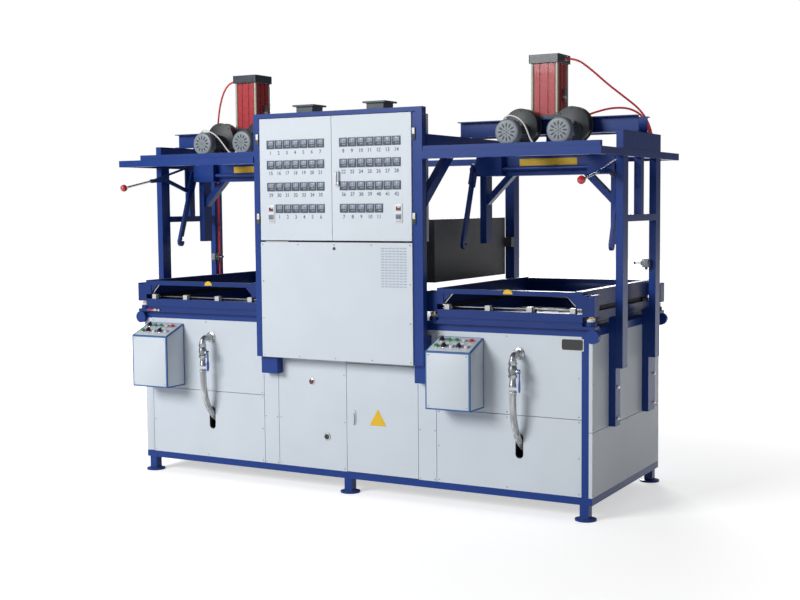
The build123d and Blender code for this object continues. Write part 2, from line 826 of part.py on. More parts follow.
def hook_shaft(station, lever_side):
    """The shaft with a hook at each end and the forked lever that turns it."""
    tilt = math.radians(HOOK_TILT)
    down = (-math.sin(tilt), -math.cos(tilt))
    eye = (SHAFT_Y, SHAFT_Z)
    tip = (SHAFT_Y + HOOK_LENGTH * down[0], SHAFT_Z + HOOK_LENGTH * down[1])
    waist = (SHAFT_Y + HOOK_PLATE[0] * down[0], SHAFT_Z + HOOK_PLATE[0] * down[1])
    bow = (tip[0] + HOOK_THROAT, tip[1])
    mouth = (bow[0] + HOOK_MOUTH[0], bow[1] + HOOK_MOUTH[1])
    cut = (mouth[0] + HOOK_THROAT, mouth[1] + HOOK_MOUTH_CUT[1] / 2)
    with BuildPart() as shaft:
        along_x((station - LEVER_OFF, station + LEVER_OFF), *eye, SHAFT_R)
        for side in SIDES.values():
            with BuildSketch(Plane.YZ.offset(station + side * HOOK_OFF - HOOK_T / 2)):
                with Locations(eye):
                    Circle(HOOK_EYE)
                strip(eye, waist, HOOK_PLATE[1])
                strip(eye, tip, HOOK_ARM)
                with Locations(bow):
                    Circle(HOOK_THROAT + HOOK_LIP)
                with Locations(mouth):
                    Circle(HOOK_THROAT, mode=Mode.SUBTRACT)
                with Locations(cut):
                    Rectangle(*HOOK_MOUTH_CUT, mode=Mode.SUBTRACT)
            extrude(amount=HOOK_T)
        with BuildSketch(Plane.YZ.offset(station + lever_side * LEVER_OFF - LEVER_T / 2)):
            with Locations(eye):
                Circle(LEVER_EYE)
            strip(LEVER_HIGH, LEVER_LOW, LEVER_CROSS)
            strip(LEVER_FORK, LEVER_ELBOW, LEVER_BAR)
            strip(LEVER_ELBOW, LEVER_LOW, LEVER_BAR)
            strip(LEVER_FORK, LEVER_HIGH, LEVER_BAR / 2)
            with Locations(LEVER_FORK, LEVER_ELBOW, LEVER_LOW):
                Circle(LEVER_BAR / 2)
        extrude(amount=LEVER_T)
        with Locations(lever_plane(station, lever_side)):
            Cylinder(LEVER_R, math.dist(LEVER_BALL, LEVER_FORK), align=UP)
    return shaft.part


def lever_plane(station, lever_side):
    """The plane at the lever's ball, looking along the lever to its fork."""
    along = (0, LEVER_FORK[0] - LEVER_BALL[0], LEVER_FORK[1] - LEVER_BALL[1])
    origin = (station + lever_side * LEVER_OFF, *LEVER_BALL)
    return Plane(origin, x_dir=(1, 0, 0), z_dir=along)


def lever_ball(station, lever_side):
    """The round grip, turned in short facets and seated on the end of the lever."""
    turns = [math.pi * step / BALL_STEPS for step in range(BALL_STEPS + 1)]
    with BuildPart() as ball:
        with BuildSketch(Plane.XZ):
            with BuildLine():
                Polyline(
                    *((BALL_R * math.sin(turn), -BALL_R * math.cos(turn)) for turn in turns),
                    close=True,
                )
            make_face()
        revolve(axis=Axis.Z)
        Cylinder(LEVER_R, 2 * BALL_R, align=UP, mode=Mode.SUBTRACT)
    return ball.part.moved(lever_plane(station, lever_side).location)


CONSOLE_IN = CONSOLE_OUT - TUBE
CONSOLE_BACK = CONSOLE_FRONT + 2 * CONSOLE_TUBE
OPENING = (-CONSOLE_IN, CONSOLE_IN - FILLER)
DOORS_TOP = CONSOLE_TOP - CONSOLE_TUBE
LEGS = ((-557, -446), (479, 544))
CABINET_SET = 8


def console_frame():
    """Two double posts and a top tube, with the filler, the legs and the fixed hinge leaves."""
    with BuildPart() as frame:
        for side in SIDES.values():
            bar(
                (side * CONSOLE_IN, side * CONSOLE_OUT),
                (CONSOLE_FRONT, CONSOLE_FRONT + CONSOLE_TUBE),
                (CONSOLE_BOTTOM, CONSOLE_TOP),
            )
            bar(
                (side * CONSOLE_IN, side * (CONSOLE_OUT - CONSOLE_INSET)),
                (CONSOLE_FRONT + CONSOLE_TUBE, CONSOLE_BACK),
                (CONSOLE_BOTTOM, CONSOLE_TOP),
            )
            bar(
                (side * CONSOLE_IN, side * (CONSOLE_OUT - CONSOLE_INSET)),
                (CONSOLE_BACK, FRONT),
                (CONSOLE_BOTTOM, CONSOLE_BOTTOM + CONSOLE_SHOE),
            )
        bar((-CONSOLE_IN, CONSOLE_IN), (CONSOLE_FRONT, CONSOLE_BACK), (DOORS_TOP, CONSOLE_TOP))
        bar(
            (OPENING[1], CONSOLE_IN),
            (CONSOLE_FRONT + FILLER_SET, CONSOLE_BACK),
            (CONSOLE_BOTTOM, DOORS_TOP),
        )
        for x in LEGS:
            bar(x, (FRONT - CONSOLE_LEG_D, FRONT), (CONSOLE_LEG_BOTTOM, CONSOLE_BOTTOM))
        for leaf_x in (OPENING[0] - GAP - HINGE_W, OPENING[1] + GAP):
            for z in HINGE_Z:
                bar(
                    (leaf_x, leaf_x + HINGE_W),
                    (CONSOLE_FRONT - HINGE_T, CONSOLE_FRONT + FILLER_SET),
                    (z - HINGE_H / 2, z + HINGE_H / 2),
                )
    return frame.part


def console_cabinet():
    """The shallow cabinet behind the doors, with a flange round its mouth."""
    z = (DOORS_BOTTOM - CABINET_SET, DOORS_TOP)
    with BuildPart() as cabinet:
        add(tray((-CABINET_HALF, CABINET_HALF), (CONSOLE_BACK, CABINET_BACK), z, Axis.Y, 0))
        bar(OPENING, (CONSOLE_BACK - SHEET, CONSOLE_BACK), z)
        bar(
            (-CABINET_HALF + SHEET, CABINET_HALF - SHEET),
            (CONSOLE_BACK - SHEET, CONSOLE_BACK),
            (z[0] + SHEET, z[1] - SHEET),
            mode=Mode.SUBTRACT,
        )
    return cabinet.part


def console_panel():
    """The plain folded sheet below the doors."""
    x = (OPENING[0] + SHEET / 2, OPENING[1] - SHEET / 2)
    return tray(
        x,
        (CONSOLE_FRONT, CONSOLE_BACK),
        (CONSOLE_BOTTOM, DOORS_BOTTOM - CABINET_SET - SHEET),
        Axis.Y,
        -1,
    )


DOOR_ENDS = {
    "left": (OPENING[0] + DOORS_MARGIN, DOOR_SPLIT - DOORS_MARGIN / 2),
    "right": (DOOR_SPLIT + DOORS_MARGIN / 2, OPENING[1] - DOORS_MARGIN),
}
MODULE_MIDDLE = {"left": -268, "right": 228}
SHORT_ROW = {"left": range(1, 7), "right": range(5)}
METER_COLUMN = {"left": 0, "right": 6.2}


def module_places(name):
    """The modules' centres: three full rows of seven and a short one beside the meter."""
    middle = MODULE_MIDDLE[name]
    full = [(middle + (column - 3) * PITCH, z) for z in ROWS[:3] for column in range(7)]
    return full + [(middle + (column - 3) * PITCH, ROWS[3]) for column in SHORT_ROW[name]]


def meter_place(name):
    x = MODULE_MIDDLE[name] + (METER_COLUMN[name] - 3) * PITCH
    return (x, ROWS[3] + MODULE / 2 - METER_H / 2)


def module_outlines(name, inset):
    """The outlines of a door's modules and meter on its front, smaller by the inset."""
    with BuildSketch(Plane.XZ.offset(-CONSOLE_FRONT)) as outlines:
        with Locations(*module_places(name)):
            Rectangle(MODULE - 2 * inset, MODULE - 2 * inset)
        with Locations(meter_place(name)):
            Rectangle(METER_W - 2 * inset, METER_H - 2 * inset)
    return outlines.sketch


def console_door(name):
    """A folded door with a window for each module and the meter."""
    with BuildPart() as door:
        add(
            tray(
                DOOR_ENDS[name],
                (CONSOLE_FRONT, CONSOLE_FRONT + DOOR_T),
                (DOORS_BOTTOM, DOORS_TOP - DOORS_MARGIN),
                Axis.Y,
                -1,
            )
        )
        extrude(module_outlines(name, MODULE_LIP), amount=-SHEET, mode=Mode.SUBTRACT)
        if name == "right":
            with BuildSketch(Plane.XZ.offset(-CONSOLE_FRONT)):
                with Locations((DOOR_SPLIT + DOOR_HANDLE_IN, DOOR_HANDLE_Z)):
                    RectangleRounded(*DOOR_HANDLE[:2], DOOR_HANDLE_CORNER)
            extrude(amount=DOOR_HANDLE[2])
    return door.part


def power_modules(name):
    """The modules and the meter: a bezel in front and a body behind."""
    with BuildPart() as modules:
        extrude(module_outlines(name, 0), amount=BEZEL_T)
        extrude(module_outlines(name, MODULE_LIP), amount=-MODULE_DEEP)
    return modules.part


def exhaust_cowls():
    """Two square outlets with wider lids on the cabinet's top."""
    with BuildPart() as cowls:
        for x in (-COWL_X, COWL_X):
            lid_z = DOORS_TOP + COWL_H
            bar(
                (x - COWL / 2, x + COWL / 2),
                (COWL_Y - COWL / 2, COWL_Y + COWL / 2),
                (DOORS_TOP, lid_z),
            )
            bar(
                (x - COWL_LID / 2, x + COWL_LID / 2),
                (COWL_Y - COWL_LID / 2, COWL_Y + COWL_LID / 2),
                (lid_z, lid_z + COWL_LID_T),
            )
    return cowls.part


ROOF = OVEN_BOTTOM + OVEN_RECESS


def heating_oven():
    """The heater box, open below, with the brackets that hold it to the cabinet and the posts."""
    arm_z = (DOORS_BOTTOM + OVEN_ARM[0], OVEN_TOP - OVEN_ARM[1])
    with BuildPart() as oven:
        bar((-OVEN_HALF, OVEN_HALF), (OVEN_FRONT, OVEN_REAR), (OVEN_BOTTOM, OVEN_TOP))
        bar(
            (-OVEN_HALF + OVEN_WALL, OVEN_HALF - OVEN_WALL),
            (OVEN_FRONT + OVEN_WALL, OVEN_REAR - OVEN_WALL),
            (OVEN_BOTTOM, ROOF),
            mode=Mode.SUBTRACT,
        )
        for side in SIDES.values():
            x = side * (CABINET_HALF - OVEN_ARM_IN)
            bar((x - OVEN_ARM_W / 2, x + OVEN_ARM_W / 2), (CABINET_BACK, OVEN_FRONT), arm_z)
        bar(
            (-CENTRE_POST_OUT, CENTRE_POST_OUT),
            (OVEN_REAR, BACK + CENTRE_POST_GAP),
            (OVEN_TOP - OVEN_TIE[0], OVEN_TOP - OVEN_TIE[1]),
        )
    return oven.part


def heater_elements():
    """Six rows of seven flat heaters on stems under the oven's roof."""
    pitch_x = (2 * (OVEN_HALF - OVEN_WALL) - ELEMENTS_EDGE) / ELEMENTS_X
    pitch_y = (OVEN_REAR - OVEN_FRONT - 2 * OVEN_WALL - ELEMENTS_EDGE) / ELEMENTS_Y
    middle = (OVEN_FRONT + OVEN_REAR) / 2
    stem_bottom = ROOF - STEM_L
    with BuildPart() as elements:
        with Locations((0, middle, stem_bottom - ELEMENT_T)):
            with GridLocations(pitch_x, pitch_y, ELEMENTS_X, ELEMENTS_Y):
                Box(ELEMENT_L, ELEMENT_W, ELEMENT_T, align=UP)
        with Locations((0, middle, stem_bottom)):
            with GridLocations(pitch_x, pitch_y, ELEMENTS_X, ELEMENTS_Y):
                Box(STEM, STEM, STEM_L, align=UP)
    return elements.part


def control_box(station):
    """A desk-shaped box with a sloping top."""
    x = station + BOX_OFF
    with BuildPart() as box:
        with BuildSketch(Plane.YZ.offset(x - BOX_W / 2)):
            with BuildLine():
                Polyline(
                    (FRONT, BOX_BOTTOM),
                    (FRONT - BOX_D, BOX_BOTTOM),
                    (FRONT - BOX_D, BOX_FRONT_TOP),
                    (FRONT, BOX_BACK_TOP),
                    close=True,
                )
            make_face()
        extrude(amount=BOX_W)
    return box.part


SLOPE = math.hypot(BOX_D, BOX_BACK_TOP - BOX_FRONT_TOP)
BUTTON_COLUMNS = (-90, -45, 0, 45, 90)
KNOBS = {(-1, -45), (-1, 45), (1, -90)}


def control_buttons(station):
    """Two rows of push buttons, with three turning knobs among them."""
    middle = (station + BOX_OFF, FRONT - BOX_D / 2, (BOX_FRONT_TOP + BOX_BACK_TOP) / 2)
    slope = Plane(
        middle,
        x_dir=(1, 0, 0),
        z_dir=(0, BOX_FRONT_TOP - BOX_BACK_TOP, BOX_D),
    )
    with BuildPart() as buttons:
        with BuildSketch(slope):
            for row in (-1, 1):
                with Locations(*((column, row * SLOPE / 5) for column in BUTTON_COLUMNS)):
                    RegularPolygon(BUTTON_BASE_R, SIDES_SMALL)
        extrude(amount=BUTTON_BASE_T)
        with BuildSketch(slope.offset(BUTTON_BASE_T)):
            for row in (-1, 1):
                for column in BUTTON_COLUMNS:
                    with Locations((column, row * SLOPE / 5)):
                        if (row, column) in KNOBS:
                            Rectangle(*KNOB)
                        else:
                            RegularPolygon(BUTTON_R, SIDES_SMALL)
        extrude(amount=BUTTON_T)
    return buttons.part


def drain_valve(station):
    """A pipe elbow out of the panel, the ball valve under it and the hose fitting below."""
    x = station + TAP_OFF
    flange_y = FRONT - PIPE_FLANGE[1]
    with BuildPart() as valve:
        with BuildLine() as route:
            Polyline((x, flange_y, TAP_Z), (x, TAP_Y, TAP_Z), (x, TAP_Y, FITTING_Z))
        with BuildSketch(Plane(origin=route.line @ 0, z_dir=route.line % 0)):
            RegularPolygon(PIPE_R, SIDES_SMALL)
        sweep(transition=Transition.RIGHT)
        flats_along_y(x, (flange_y, FRONT), TAP_Z, PIPE_FLANGE[0], SIDES_LARGE)
        for nut_z in (VALVE_Z[0], VALVE_Z[1] - NUT_T):
            flats_along_z(x, TAP_Y, (nut_z, nut_z + NUT_T), NUT_R, SIDES_SMALL - 2)
        flats_along_z(x, TAP_Y, VALVE_Z, VALVE_R, SIDES_SMALL)
        along_x((x, x + PIPE_R + STEM_OUT), TAP_Y, STEM_Z, STEM_R)
    return valve.part


def drain_lever(station):
    """The flat handle on the valve's stem, hanging down when the valve is open."""
    end = (TAP_Y, FITTING_Z - TAP_LEVER_LONG)
    with BuildPart() as lever:
        with BuildSketch(Plane.YZ.offset(station + TAP_OFF + PIPE_R + STEM_OUT)):
            with Locations((TAP_Y, STEM_Z)):
                Circle(TAP_LEVER_EYE)
            strip((TAP_Y, STEM_Z), end, TAP_LEVER[0])
            with Locations(end):
                Circle(TAP_LEVER[0] / 2)
        extrude(amount=TAP_LEVER[1])
    return lever.part


DRAIN_ROUTE = (
    (TAP_Y, FITTING_Z),
    (TAP_Y, 594),
    (TAP_Y + 14, 506),
    (TAP_Y + 53, 428),
    (TAP_Y + 112, 366),
    (TAP_Y + 186, 326),
)


def blowers(name):
    """Two scroll housings with their outlets turned down over the bed."""
    back = AXIS_Y - CHANNEL_HALF
    with BuildPart() as pair:
        for off in BLOWER_OFFS[name]:
            x = STATIONS[name] + off
            neck = (BLOWER_Z - BLOWER_R - BLOWER_NECK, BLOWER_Z)
            y = (back - BLOWER_W, back)
            flats_along_y(x, y, BLOWER_Z, BLOWER_R - BLOWER_RIM, 2 * SIDES_LARGE)
            inside = (y[0] + BLOWER_RIM, y[1] - BLOWER_RIM)
            bar((x - BLOWER_R + BLOWER_RIM, x - OUTLET_IN), inside, neck)
            for rim in ((y[0], inside[0]), (inside[1], y[1])):
                flats_along_y(x, rim, BLOWER_Z, BLOWER_R, 2 * SIDES_LARGE)
            bar(
                (x - SHELF_HALF, x + SHELF_HALF),
                inside,
                (RAIL_TOP + TRACK, BLOWER_Z),
            )
    return pair.part


def blower_motors(name):
    """Finned motors on feet, each with a fan cover at its free end."""
    back = AXIS_Y - CHANNEL_HALF - BLOWER_W
    front = back - MOTOR_L
    cover_back = front + FAN_COVER_L
    feet_z = (RAIL_TOP + TRACK, MOTOR_Z - MOTOR_R + MOTOR_FOOT_SEAT)
    with BuildPart() as pair:
        for off in BLOWER_OFFS[name]:
            x = STATIONS[name] + off
            rim = FAN_COVER_R - FAN_COVER_RIM
            flats_along_y(x, (cover_back, back), MOTOR_Z, MOTOR_R, SIDES_LARGE)
            flats_along_y(
                x, (front + FAN_COVER_RIM, cover_back), MOTOR_Z, FAN_COVER_R, SIDES_LARGE
            )
            flats_along_y(x, (front, front + FAN_COVER_RIM), MOTOR_Z, rim, SIDES_LARGE)
            with BuildSketch(Plane.XZ.offset(-cover_back)):
                with Locations((x, MOTOR_Z)):
                    with PolarLocations(MOTOR_R + FIN_SEAT, FINS):
                        Rectangle(*FIN)
            extrude(amount=cover_back + FINS_END - back)
            bar(
                (x - MOTOR_FOOT_HALF, x + MOTOR_FOOT_HALF),
                (cover_back + MOTOR_FOOT[0], back - MOTOR_FOOT[1]),
                feet_z,
            )
    return pair.part


def limit_switches():
    """A switch on each rear post, with its feeler pointing into the station."""
    with BuildPart() as switches:
        for side in SIDES.values():
            middle = side * (POST_OUT - POST_W - SWITCH_SET)
            inner = middle - side * SWITCH[0] / 2
            bar(
                (inner, inner + side * SWITCH[0]),
                (POST_REAR - SWITCH[1], POST_REAR),
                (SWITCH_BOTTOM, SWITCH_BOTTOM + SWITCH[2]),
            )
            feeler_y = POST_REAR - SWITCH[1] / 2
            feeler_z = SWITCH_BOTTOM + SWITCH[2] / 2
            along_x((inner, inner - side * FEELER_L), feeler_y, feeler_z, FEELER_R)
    return switches.part


PORT_X = CAP / 2
TOP_PORT = CYLINDER_TOP - CAP_T / 2
BRACKET_HOSE_X = POST_OUT - POST_W - 14
AIR_ROUTES = {
    "left_upper": (
        (-STATION - PORT_X, AXIS_Y, TOP_PORT),
        (-STATION - PORT_X - 75, AXIS_Y, TOP_PORT),
        (-STATION - PORT_X - 152, AXIS_Y + 26, TOP_PORT - 46),
        (-STATION - PORT_X - 225, AXIS_Y + 75, TOP_PORT - 125),
        (-STATION - PORT_X - 290, AXIS_Y + 135, TOP_PORT - 215),
        (-STATION - PORT_X - 345, AXIS_Y + 195, TOP_PORT - 320),
        (-STATION - PORT_X - 385, AXIS_Y + 240, TOP_PORT - 440),
        (-BRACKET_HOSE_X, AXIS_Y + 267, TOP_PORT - 590),
        (-BRACKET_HOSE_X, AXIS_Y + 267, BRACKET_TOP),
    ),
    "right_upper": (
        (STATION + PORT_X, AXIS_Y, TOP_PORT),
        (STATION + PORT_X + 65, AXIS_Y, TOP_PORT),
        (STATION + PORT_X + 132, AXIS_Y + 56, TOP_PORT - 58),
        (STATION + PORT_X + 205, AXIS_Y + 130, TOP_PORT - 140),
        (STATION + PORT_X + 285, AXIS_Y + 200, TOP_PORT - 215),
        (STATION + PORT_X + 350, AXIS_Y + 270, TOP_PORT - 280),
        (STATION + PORT_X + 390, AXIS_Y + 325, TOP_PORT - 365),
        (BRACKET_HOSE_X, AXIS_Y + 352, TOP_PORT - 470),
        (BRACKET_HOSE_X, AXIS_Y + 352, BRACKET_TOP),
    ),
    "right_lower": (
        (STATION + CHANNEL_HALF, AXIS_Y + 40, CHANNEL_TOP + SEAT_T / 2),
        (STATION + CHANNEL_HALF + 62, AXIS_Y + 40, CHANNEL_TOP + SEAT_T / 2),
        (STATION + CHANNEL_HALF + 128, AXIS_Y + 84, CHANNEL_TOP + 38),
        (STATION + CHANNEL_HALF + 200, AXIS_Y + 145, CHANNEL_TOP + 62),
        (STATION + CHANNEL_HALF + 280, AXIS_Y + 205, CHANNEL_TOP + 62),
        (STATION + CHANNEL_HALF + 342, AXIS_Y + 258, CHANNEL_TOP + 22),
        (STATION + CHANNEL_HALF + 370, AXIS_Y + 295, CHANNEL_TOP - 55),
        (BRACKET_HOSE_X, AXIS_Y + 318, CHANNEL_TOP - 160),
        (BRACKET_HOSE_X, AXIS_Y + 318, BRACKET_TOP),
    ),
}

save(base_frame(), "base_frame")
save(top_frame(), "top_frame")
save(centre_panels(), "centre_panels")
save(rear_panels(), "rear_panels")
save(electrical_door(), "electrical_door")
save(centre_deck(), "centre_deck")
save(side_beams(), "side_beams")
save(centre_rear_posts(), "centre_rear_posts")
save(rail_frame(), "rail_frame")
save(console_frame(), "console_frame")
save(console_cabinet(), "console_cabinet")
save(console_panel(), "console_panel")
save(exhaust_cowls(), "exhaust_cowls")
save(heating_oven(), "heating_oven")
save(heater_elements(), "heater_elements")
save(limit_switches(), "limit_switches")

for name, side in SIDES.items():
    place = STATIONS[name]
    save(front_panels(place), f"front_panels_{name}")
    save(side_panels(side), f"side_panels_{name}")
    save(bed(place), f"bed_{name}")
    save(lower_clamp(place), f"lower_clamp_{name}")
    save(upper_clamp(place), f"upper_clamp_{name}")
    save(gantry_posts(side), f"gantry_posts_{name}")
    save(cross_channels(side), f"cross_channels_{name}")
    save(cylinder(place), f"cylinder_{name}")
    save(press_frame(place), f"press_frame_{name}")
    save(hook_shaft(place, side), f"hook_shaft_{name}")
    save(lever_ball(place, side), f"lever_ball_{name}")
    save(console_door(name), f"console_door_{name}")
    save(power_modules(name), f"power_modules_{name}")
    save(control_box(place), f"control_box_{name}")
    save(control_buttons(place), f"control_buttons_{name}")
    save(drain_valve(place), f"drain_valve_{name}")
    save(drain_lever(place), f"drain_lever_{name}")
    save(blowers(name), f"blowers_{name}")
    save(blower_motors(name), f"blower_motors_{name}")
    drain_points = [(place + TAP_OFF, y, z) for y, z in DRAIN_ROUTE]
    save(tube_along(drain_points, HOSE_R), f"drain_hose_{name}")

for name, points in AIR_ROUTES.items():
    save(tube_along(points, AIR_HOSE_R), f"air_hose_{name}")
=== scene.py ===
# %% [markdown]
# A vacuum forming machine with two stations: blue welded frames, pale sheet panels, a tall
# console in the middle and a red air cylinder over each bed. The solids come ready made as the
# frame. This lesson gives them their finishes and adds the pieces that are worth modelling by
# hand. The first cell loads the frame.

# %% Load the frame
import math
from contextlib import contextmanager

import bpy
from mathutils import Euler, Matrix, Vector


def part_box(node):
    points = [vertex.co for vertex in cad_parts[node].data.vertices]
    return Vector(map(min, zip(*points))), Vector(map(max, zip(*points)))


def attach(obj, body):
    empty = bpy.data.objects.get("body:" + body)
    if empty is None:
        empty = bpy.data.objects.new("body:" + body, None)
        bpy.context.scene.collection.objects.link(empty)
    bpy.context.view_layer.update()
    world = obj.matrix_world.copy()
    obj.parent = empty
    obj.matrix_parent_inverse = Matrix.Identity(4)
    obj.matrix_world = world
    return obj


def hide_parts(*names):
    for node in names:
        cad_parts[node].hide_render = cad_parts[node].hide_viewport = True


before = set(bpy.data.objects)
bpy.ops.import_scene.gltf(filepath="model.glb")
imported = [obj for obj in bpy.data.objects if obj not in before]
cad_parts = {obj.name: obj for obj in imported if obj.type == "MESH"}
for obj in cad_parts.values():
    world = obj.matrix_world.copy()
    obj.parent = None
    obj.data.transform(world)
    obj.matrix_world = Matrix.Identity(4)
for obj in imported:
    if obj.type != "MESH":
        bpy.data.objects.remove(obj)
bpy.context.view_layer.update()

# %% [markdown]
# Both stations are the same, one to the left and one to the right of the middle. The faces that
# many pieces stand on are taken from the boxes of the solids. The directions get names too.

# %% Places on the machine
SIDES = {"left": -1, "right": 1}
STATION = {name: sum(c.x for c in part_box(f"bed_{name}")) / 2 for name in SIDES}
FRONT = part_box("front_panels_left")[0].y
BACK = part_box("rear_panels")[1].y
DOOR_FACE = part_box("console_door_left")[0].y
FORWARD, BACKWARD = (0, -1, 0), (0, 1, 0)
UP, DOWN, RIGHT = (0, 0, 1), (0, 0, -1), (1, 0, 0)
print("stations at", {name: round(x, 3) for name, x in STATION.items()})

# %% [markdown]
# The camera stands at head height, to the right of the machine, and looks down a little. Its
# lens is worked out from the focal length in pixels of an 800 pixel wide picture.

# %% Camera
CAMERA_PLACE = (3.8072, -6.2025, 1.6664)
CAMERA_YAW = 0.5094
CAMERA_PITCH = -0.0748
CAMERA_ROLL = -0.0087
FOCAL_PIXELS = 1262.25
PICTURE_PIXELS = 800
camera = bpy.data.objects.new("camera", bpy.data.cameras.new("camera"))
bpy.context.scene.collection.objects.link(camera)
turn = Euler((math.pi / 2 + CAMERA_PITCH, 0, CAMERA_YAW)).to_matrix()
turn = turn @ Matrix.Rotation(CAMERA_ROLL, 3, "Z")
camera.matrix_world = Matrix.Translation(CAMERA_PLACE) @ turn.to_4x4()
camera.data.sensor_width = 36
camera.data.lens = FOCAL_PIXELS / PICTURE_PIXELS * camera.data.sensor_width
camera.data.clip_end = 100
bpy.context.scene.camera = camera
print("lens", round(camera.data.lens, 1), "mm")

# %% [markdown]
# Shaders are trees of nodes. One helper adds a node, sets it up and plugs in its inputs, and the
# others are short names for the nodes that come back all the time, so that each material below
# reads as a list of what it does.

# %% Helpers for shader nodes
def wire(tree, kind, inputs=None, **settings):
    """Adds a node. An input that is a socket is linked, and any other value is set."""
    node = tree.nodes.new(kind)
    for name, value in settings.items():
        setattr(node, name, value)
    for name, value in (inputs or {}).items():
        if isinstance(value, bpy.types.NodeSocket):
            tree.links.new(value, node.inputs[name])
        else:
            node.inputs[name].default_value = value
    return node


def sum_up(tree, operation, *values):
    """A Math node on two or three values or sockets."""
    return wire(tree, "ShaderNodeMath", dict(enumerate(values)), operation=operation).outputs[0]


def remap(tree, value, low, high, to_low=0.0, to_high=1.0):
    """Stretches the range from low to high over another range."""
    inputs = {"Value": value, "From Min": low, "From Max": high, "To Min": to_low, "To Max": to_high}
    return wire(tree, "ShaderNodeMapRange", inputs).outputs[0]


def noise(tree, place, scale, detail):
    inputs = {"Vector": place, "Scale": scale, "Detail": detail}
    return wire(tree, "ShaderNodeTexNoise", inputs).outputs["Fac"]


def here(tree):
    """Where a point lies on the machine."""
    return wire(tree, "ShaderNodeTexCoord").outputs["Object"]


def part_of(tree, vector, axis):
    return wire(tree, "ShaderNodeSeparateXYZ", {0: vector}).outputs[axis]


def scaled(tree, colour, factor):
    inputs = {0: colour, "Scale": factor}
    return wire(tree, "ShaderNodeVectorMath", inputs, operation="SCALE").outputs[0]


def rounded(tree, radius):
    """A normal that rounds the edges off."""
    return wire(tree, "ShaderNodeBevel", {"Radius": radius}, samples=4).outputs[0]


def bumped(tree, height, strength, distance, normal):
    inputs = {"Height": height, "Strength": strength, "Distance": distance, "Normal": normal}
    return wire(tree, "ShaderNodeBump", inputs).outputs[0]


def blend(tree, share, first, second):
    """A colour between two others."""
    mix = tree.nodes.new("ShaderNodeMix")
    mix.data_type = "RGBA"
    for name, value in {"Factor": share, "A": first, "B": second}.items():
        socket = [s for s in mix.inputs if s.name == name and s.enabled][0]
        if isinstance(value, bpy.types.NodeSocket):
            tree.links.new(value, socket)
        else:
            socket.default_value = value
    return [s for s in mix.outputs if s.enabled][0]


print("node helpers ready")

# %% [markdown]
# The floor is white and still takes the soft shadow of the machine. To the camera it is lifted
# to white by a little light of its own, which the object never receives.

# %% Floor and backdrop
FLOOR_SIZE = 60
FLOOR_RISE = {"From Min": 1.8, "From Max": 6.5, "To Min": 0.55, "To Max": 1.0}
FLOOR_TONE = (0.8, 0.8, 0.8, 1)
WHITE = (1, 1, 1, 1)
AMBIENT = 0.165


def straight_rays(tree, *kinds):
    """1 for rays of these kinds, and 0 for all others."""
    seen = wire(tree, "ShaderNodeLightPath")
    share = seen.outputs[f"Is {kinds[0]} Ray"]
    for kind in kinds[1:]:
        share = sum_up(tree, "MAXIMUM", share, seen.outputs[f"Is {kind} Ray"])
    return share


bpy.ops.object.select_all(action="DESELECT")
bpy.ops.mesh.primitive_plane_add(size=FLOOR_SIZE, location=(0, 0, 0))
floor = bpy.context.object
floor.name = "floor"

white = bpy.data.materials.new("white floor")
white.use_nodes = True
tree = white.node_tree
tree.nodes.clear()
straight = straight_rays(tree, "Camera", "Glossy", "Transmission")
matte = wire(tree, "ShaderNodeBsdfDiffuse", {"Color": FLOOR_TONE})
away = wire(tree, "ShaderNodeVectorMath", {0: here(tree)}, operation="LENGTH").outputs["Value"]
rise = {"Value": away, **FLOOR_RISE}
rise = wire(tree, "ShaderNodeMapRange", rise, interpolation_type="SMOOTHSTEP").outputs[0]
lift = sum_up(tree, "MULTIPLY", straight, rise)
glow = wire(tree, "ShaderNodeEmission", {"Color": WHITE, "Strength": lift})
both = wire(tree, "ShaderNodeAddShader", {0: matte.outputs[0], 1: glow.outputs[0]})
wire(tree, "ShaderNodeOutputMaterial", {"Surface": both.outputs[0]})
floor.data.materials.append(white)

world = bpy.data.worlds.new("white studio")
bpy.context.scene.world = world
world.use_nodes = True
tree = world.node_tree
tree.nodes.clear()
straight = straight_rays(tree, "Camera", "Transmission")
level = sum_up(tree, "MULTIPLY_ADD", straight, 1 - AMBIENT, AMBIENT)
sky = wire(tree, "ShaderNodeBackground", {"Color": WHITE, "Strength": level})
wire(tree, "ShaderNodeOutputWorld", {"Surface": sky.outputs[0]})
bpy.context.scene.view_settings.view_transform = "Standard"
print("floor and world ready")

# %% [markdown]
# Three soft boxes: a large one ahead of the machine, on the left, which lights everything that
# faces forward, a weak one on the right, so that the shaded side keeps its shape, and one behind
# on the left for the back.

# %% Lights
def soft_box(name, place, aim, size, power):
    lamp = bpy.data.objects.new(name, bpy.data.lights.new(name, "AREA"))
    bpy.context.scene.collection.objects.link(lamp)
    lamp.data.shape = "RECTANGLE"
    lamp.data.size, lamp.data.size_y = size
    lamp.data.energy = power
    lamp.location = place
    lamp.rotation_euler = (Vector(aim) - Vector(place)).to_track_quat("-Z", "Y").to_euler()


soft_box("key", (-4.5, -9.5, 5.5), (0, 0.3, 1.1), (5, 4), 1010)
soft_box("fill", (8.5, -3.0, 3.0), (0.5, 0.4, 1.2), (3, 3), 16)
soft_box("back", (-3.5, 9.5, 4.5), (0, 0.6, 1.2), (4, 4), 620)
print("lights ready")

# %% [markdown]
# Painted steel is never one flat colour. The coat pools and thins, edges wear to a paler tone,
# dust settles on what faces up, and the surface has a fine orange peel. One group makes all of
# that, and puts out the colour, roughness and normal for any painted material.

# %% Painted metal
SURFACE = {"Colour": "Color", "Roughness": "Float", "Normal": "Vector"}
DUST_TONE = (0.42, 0.42, 0.41, 1)


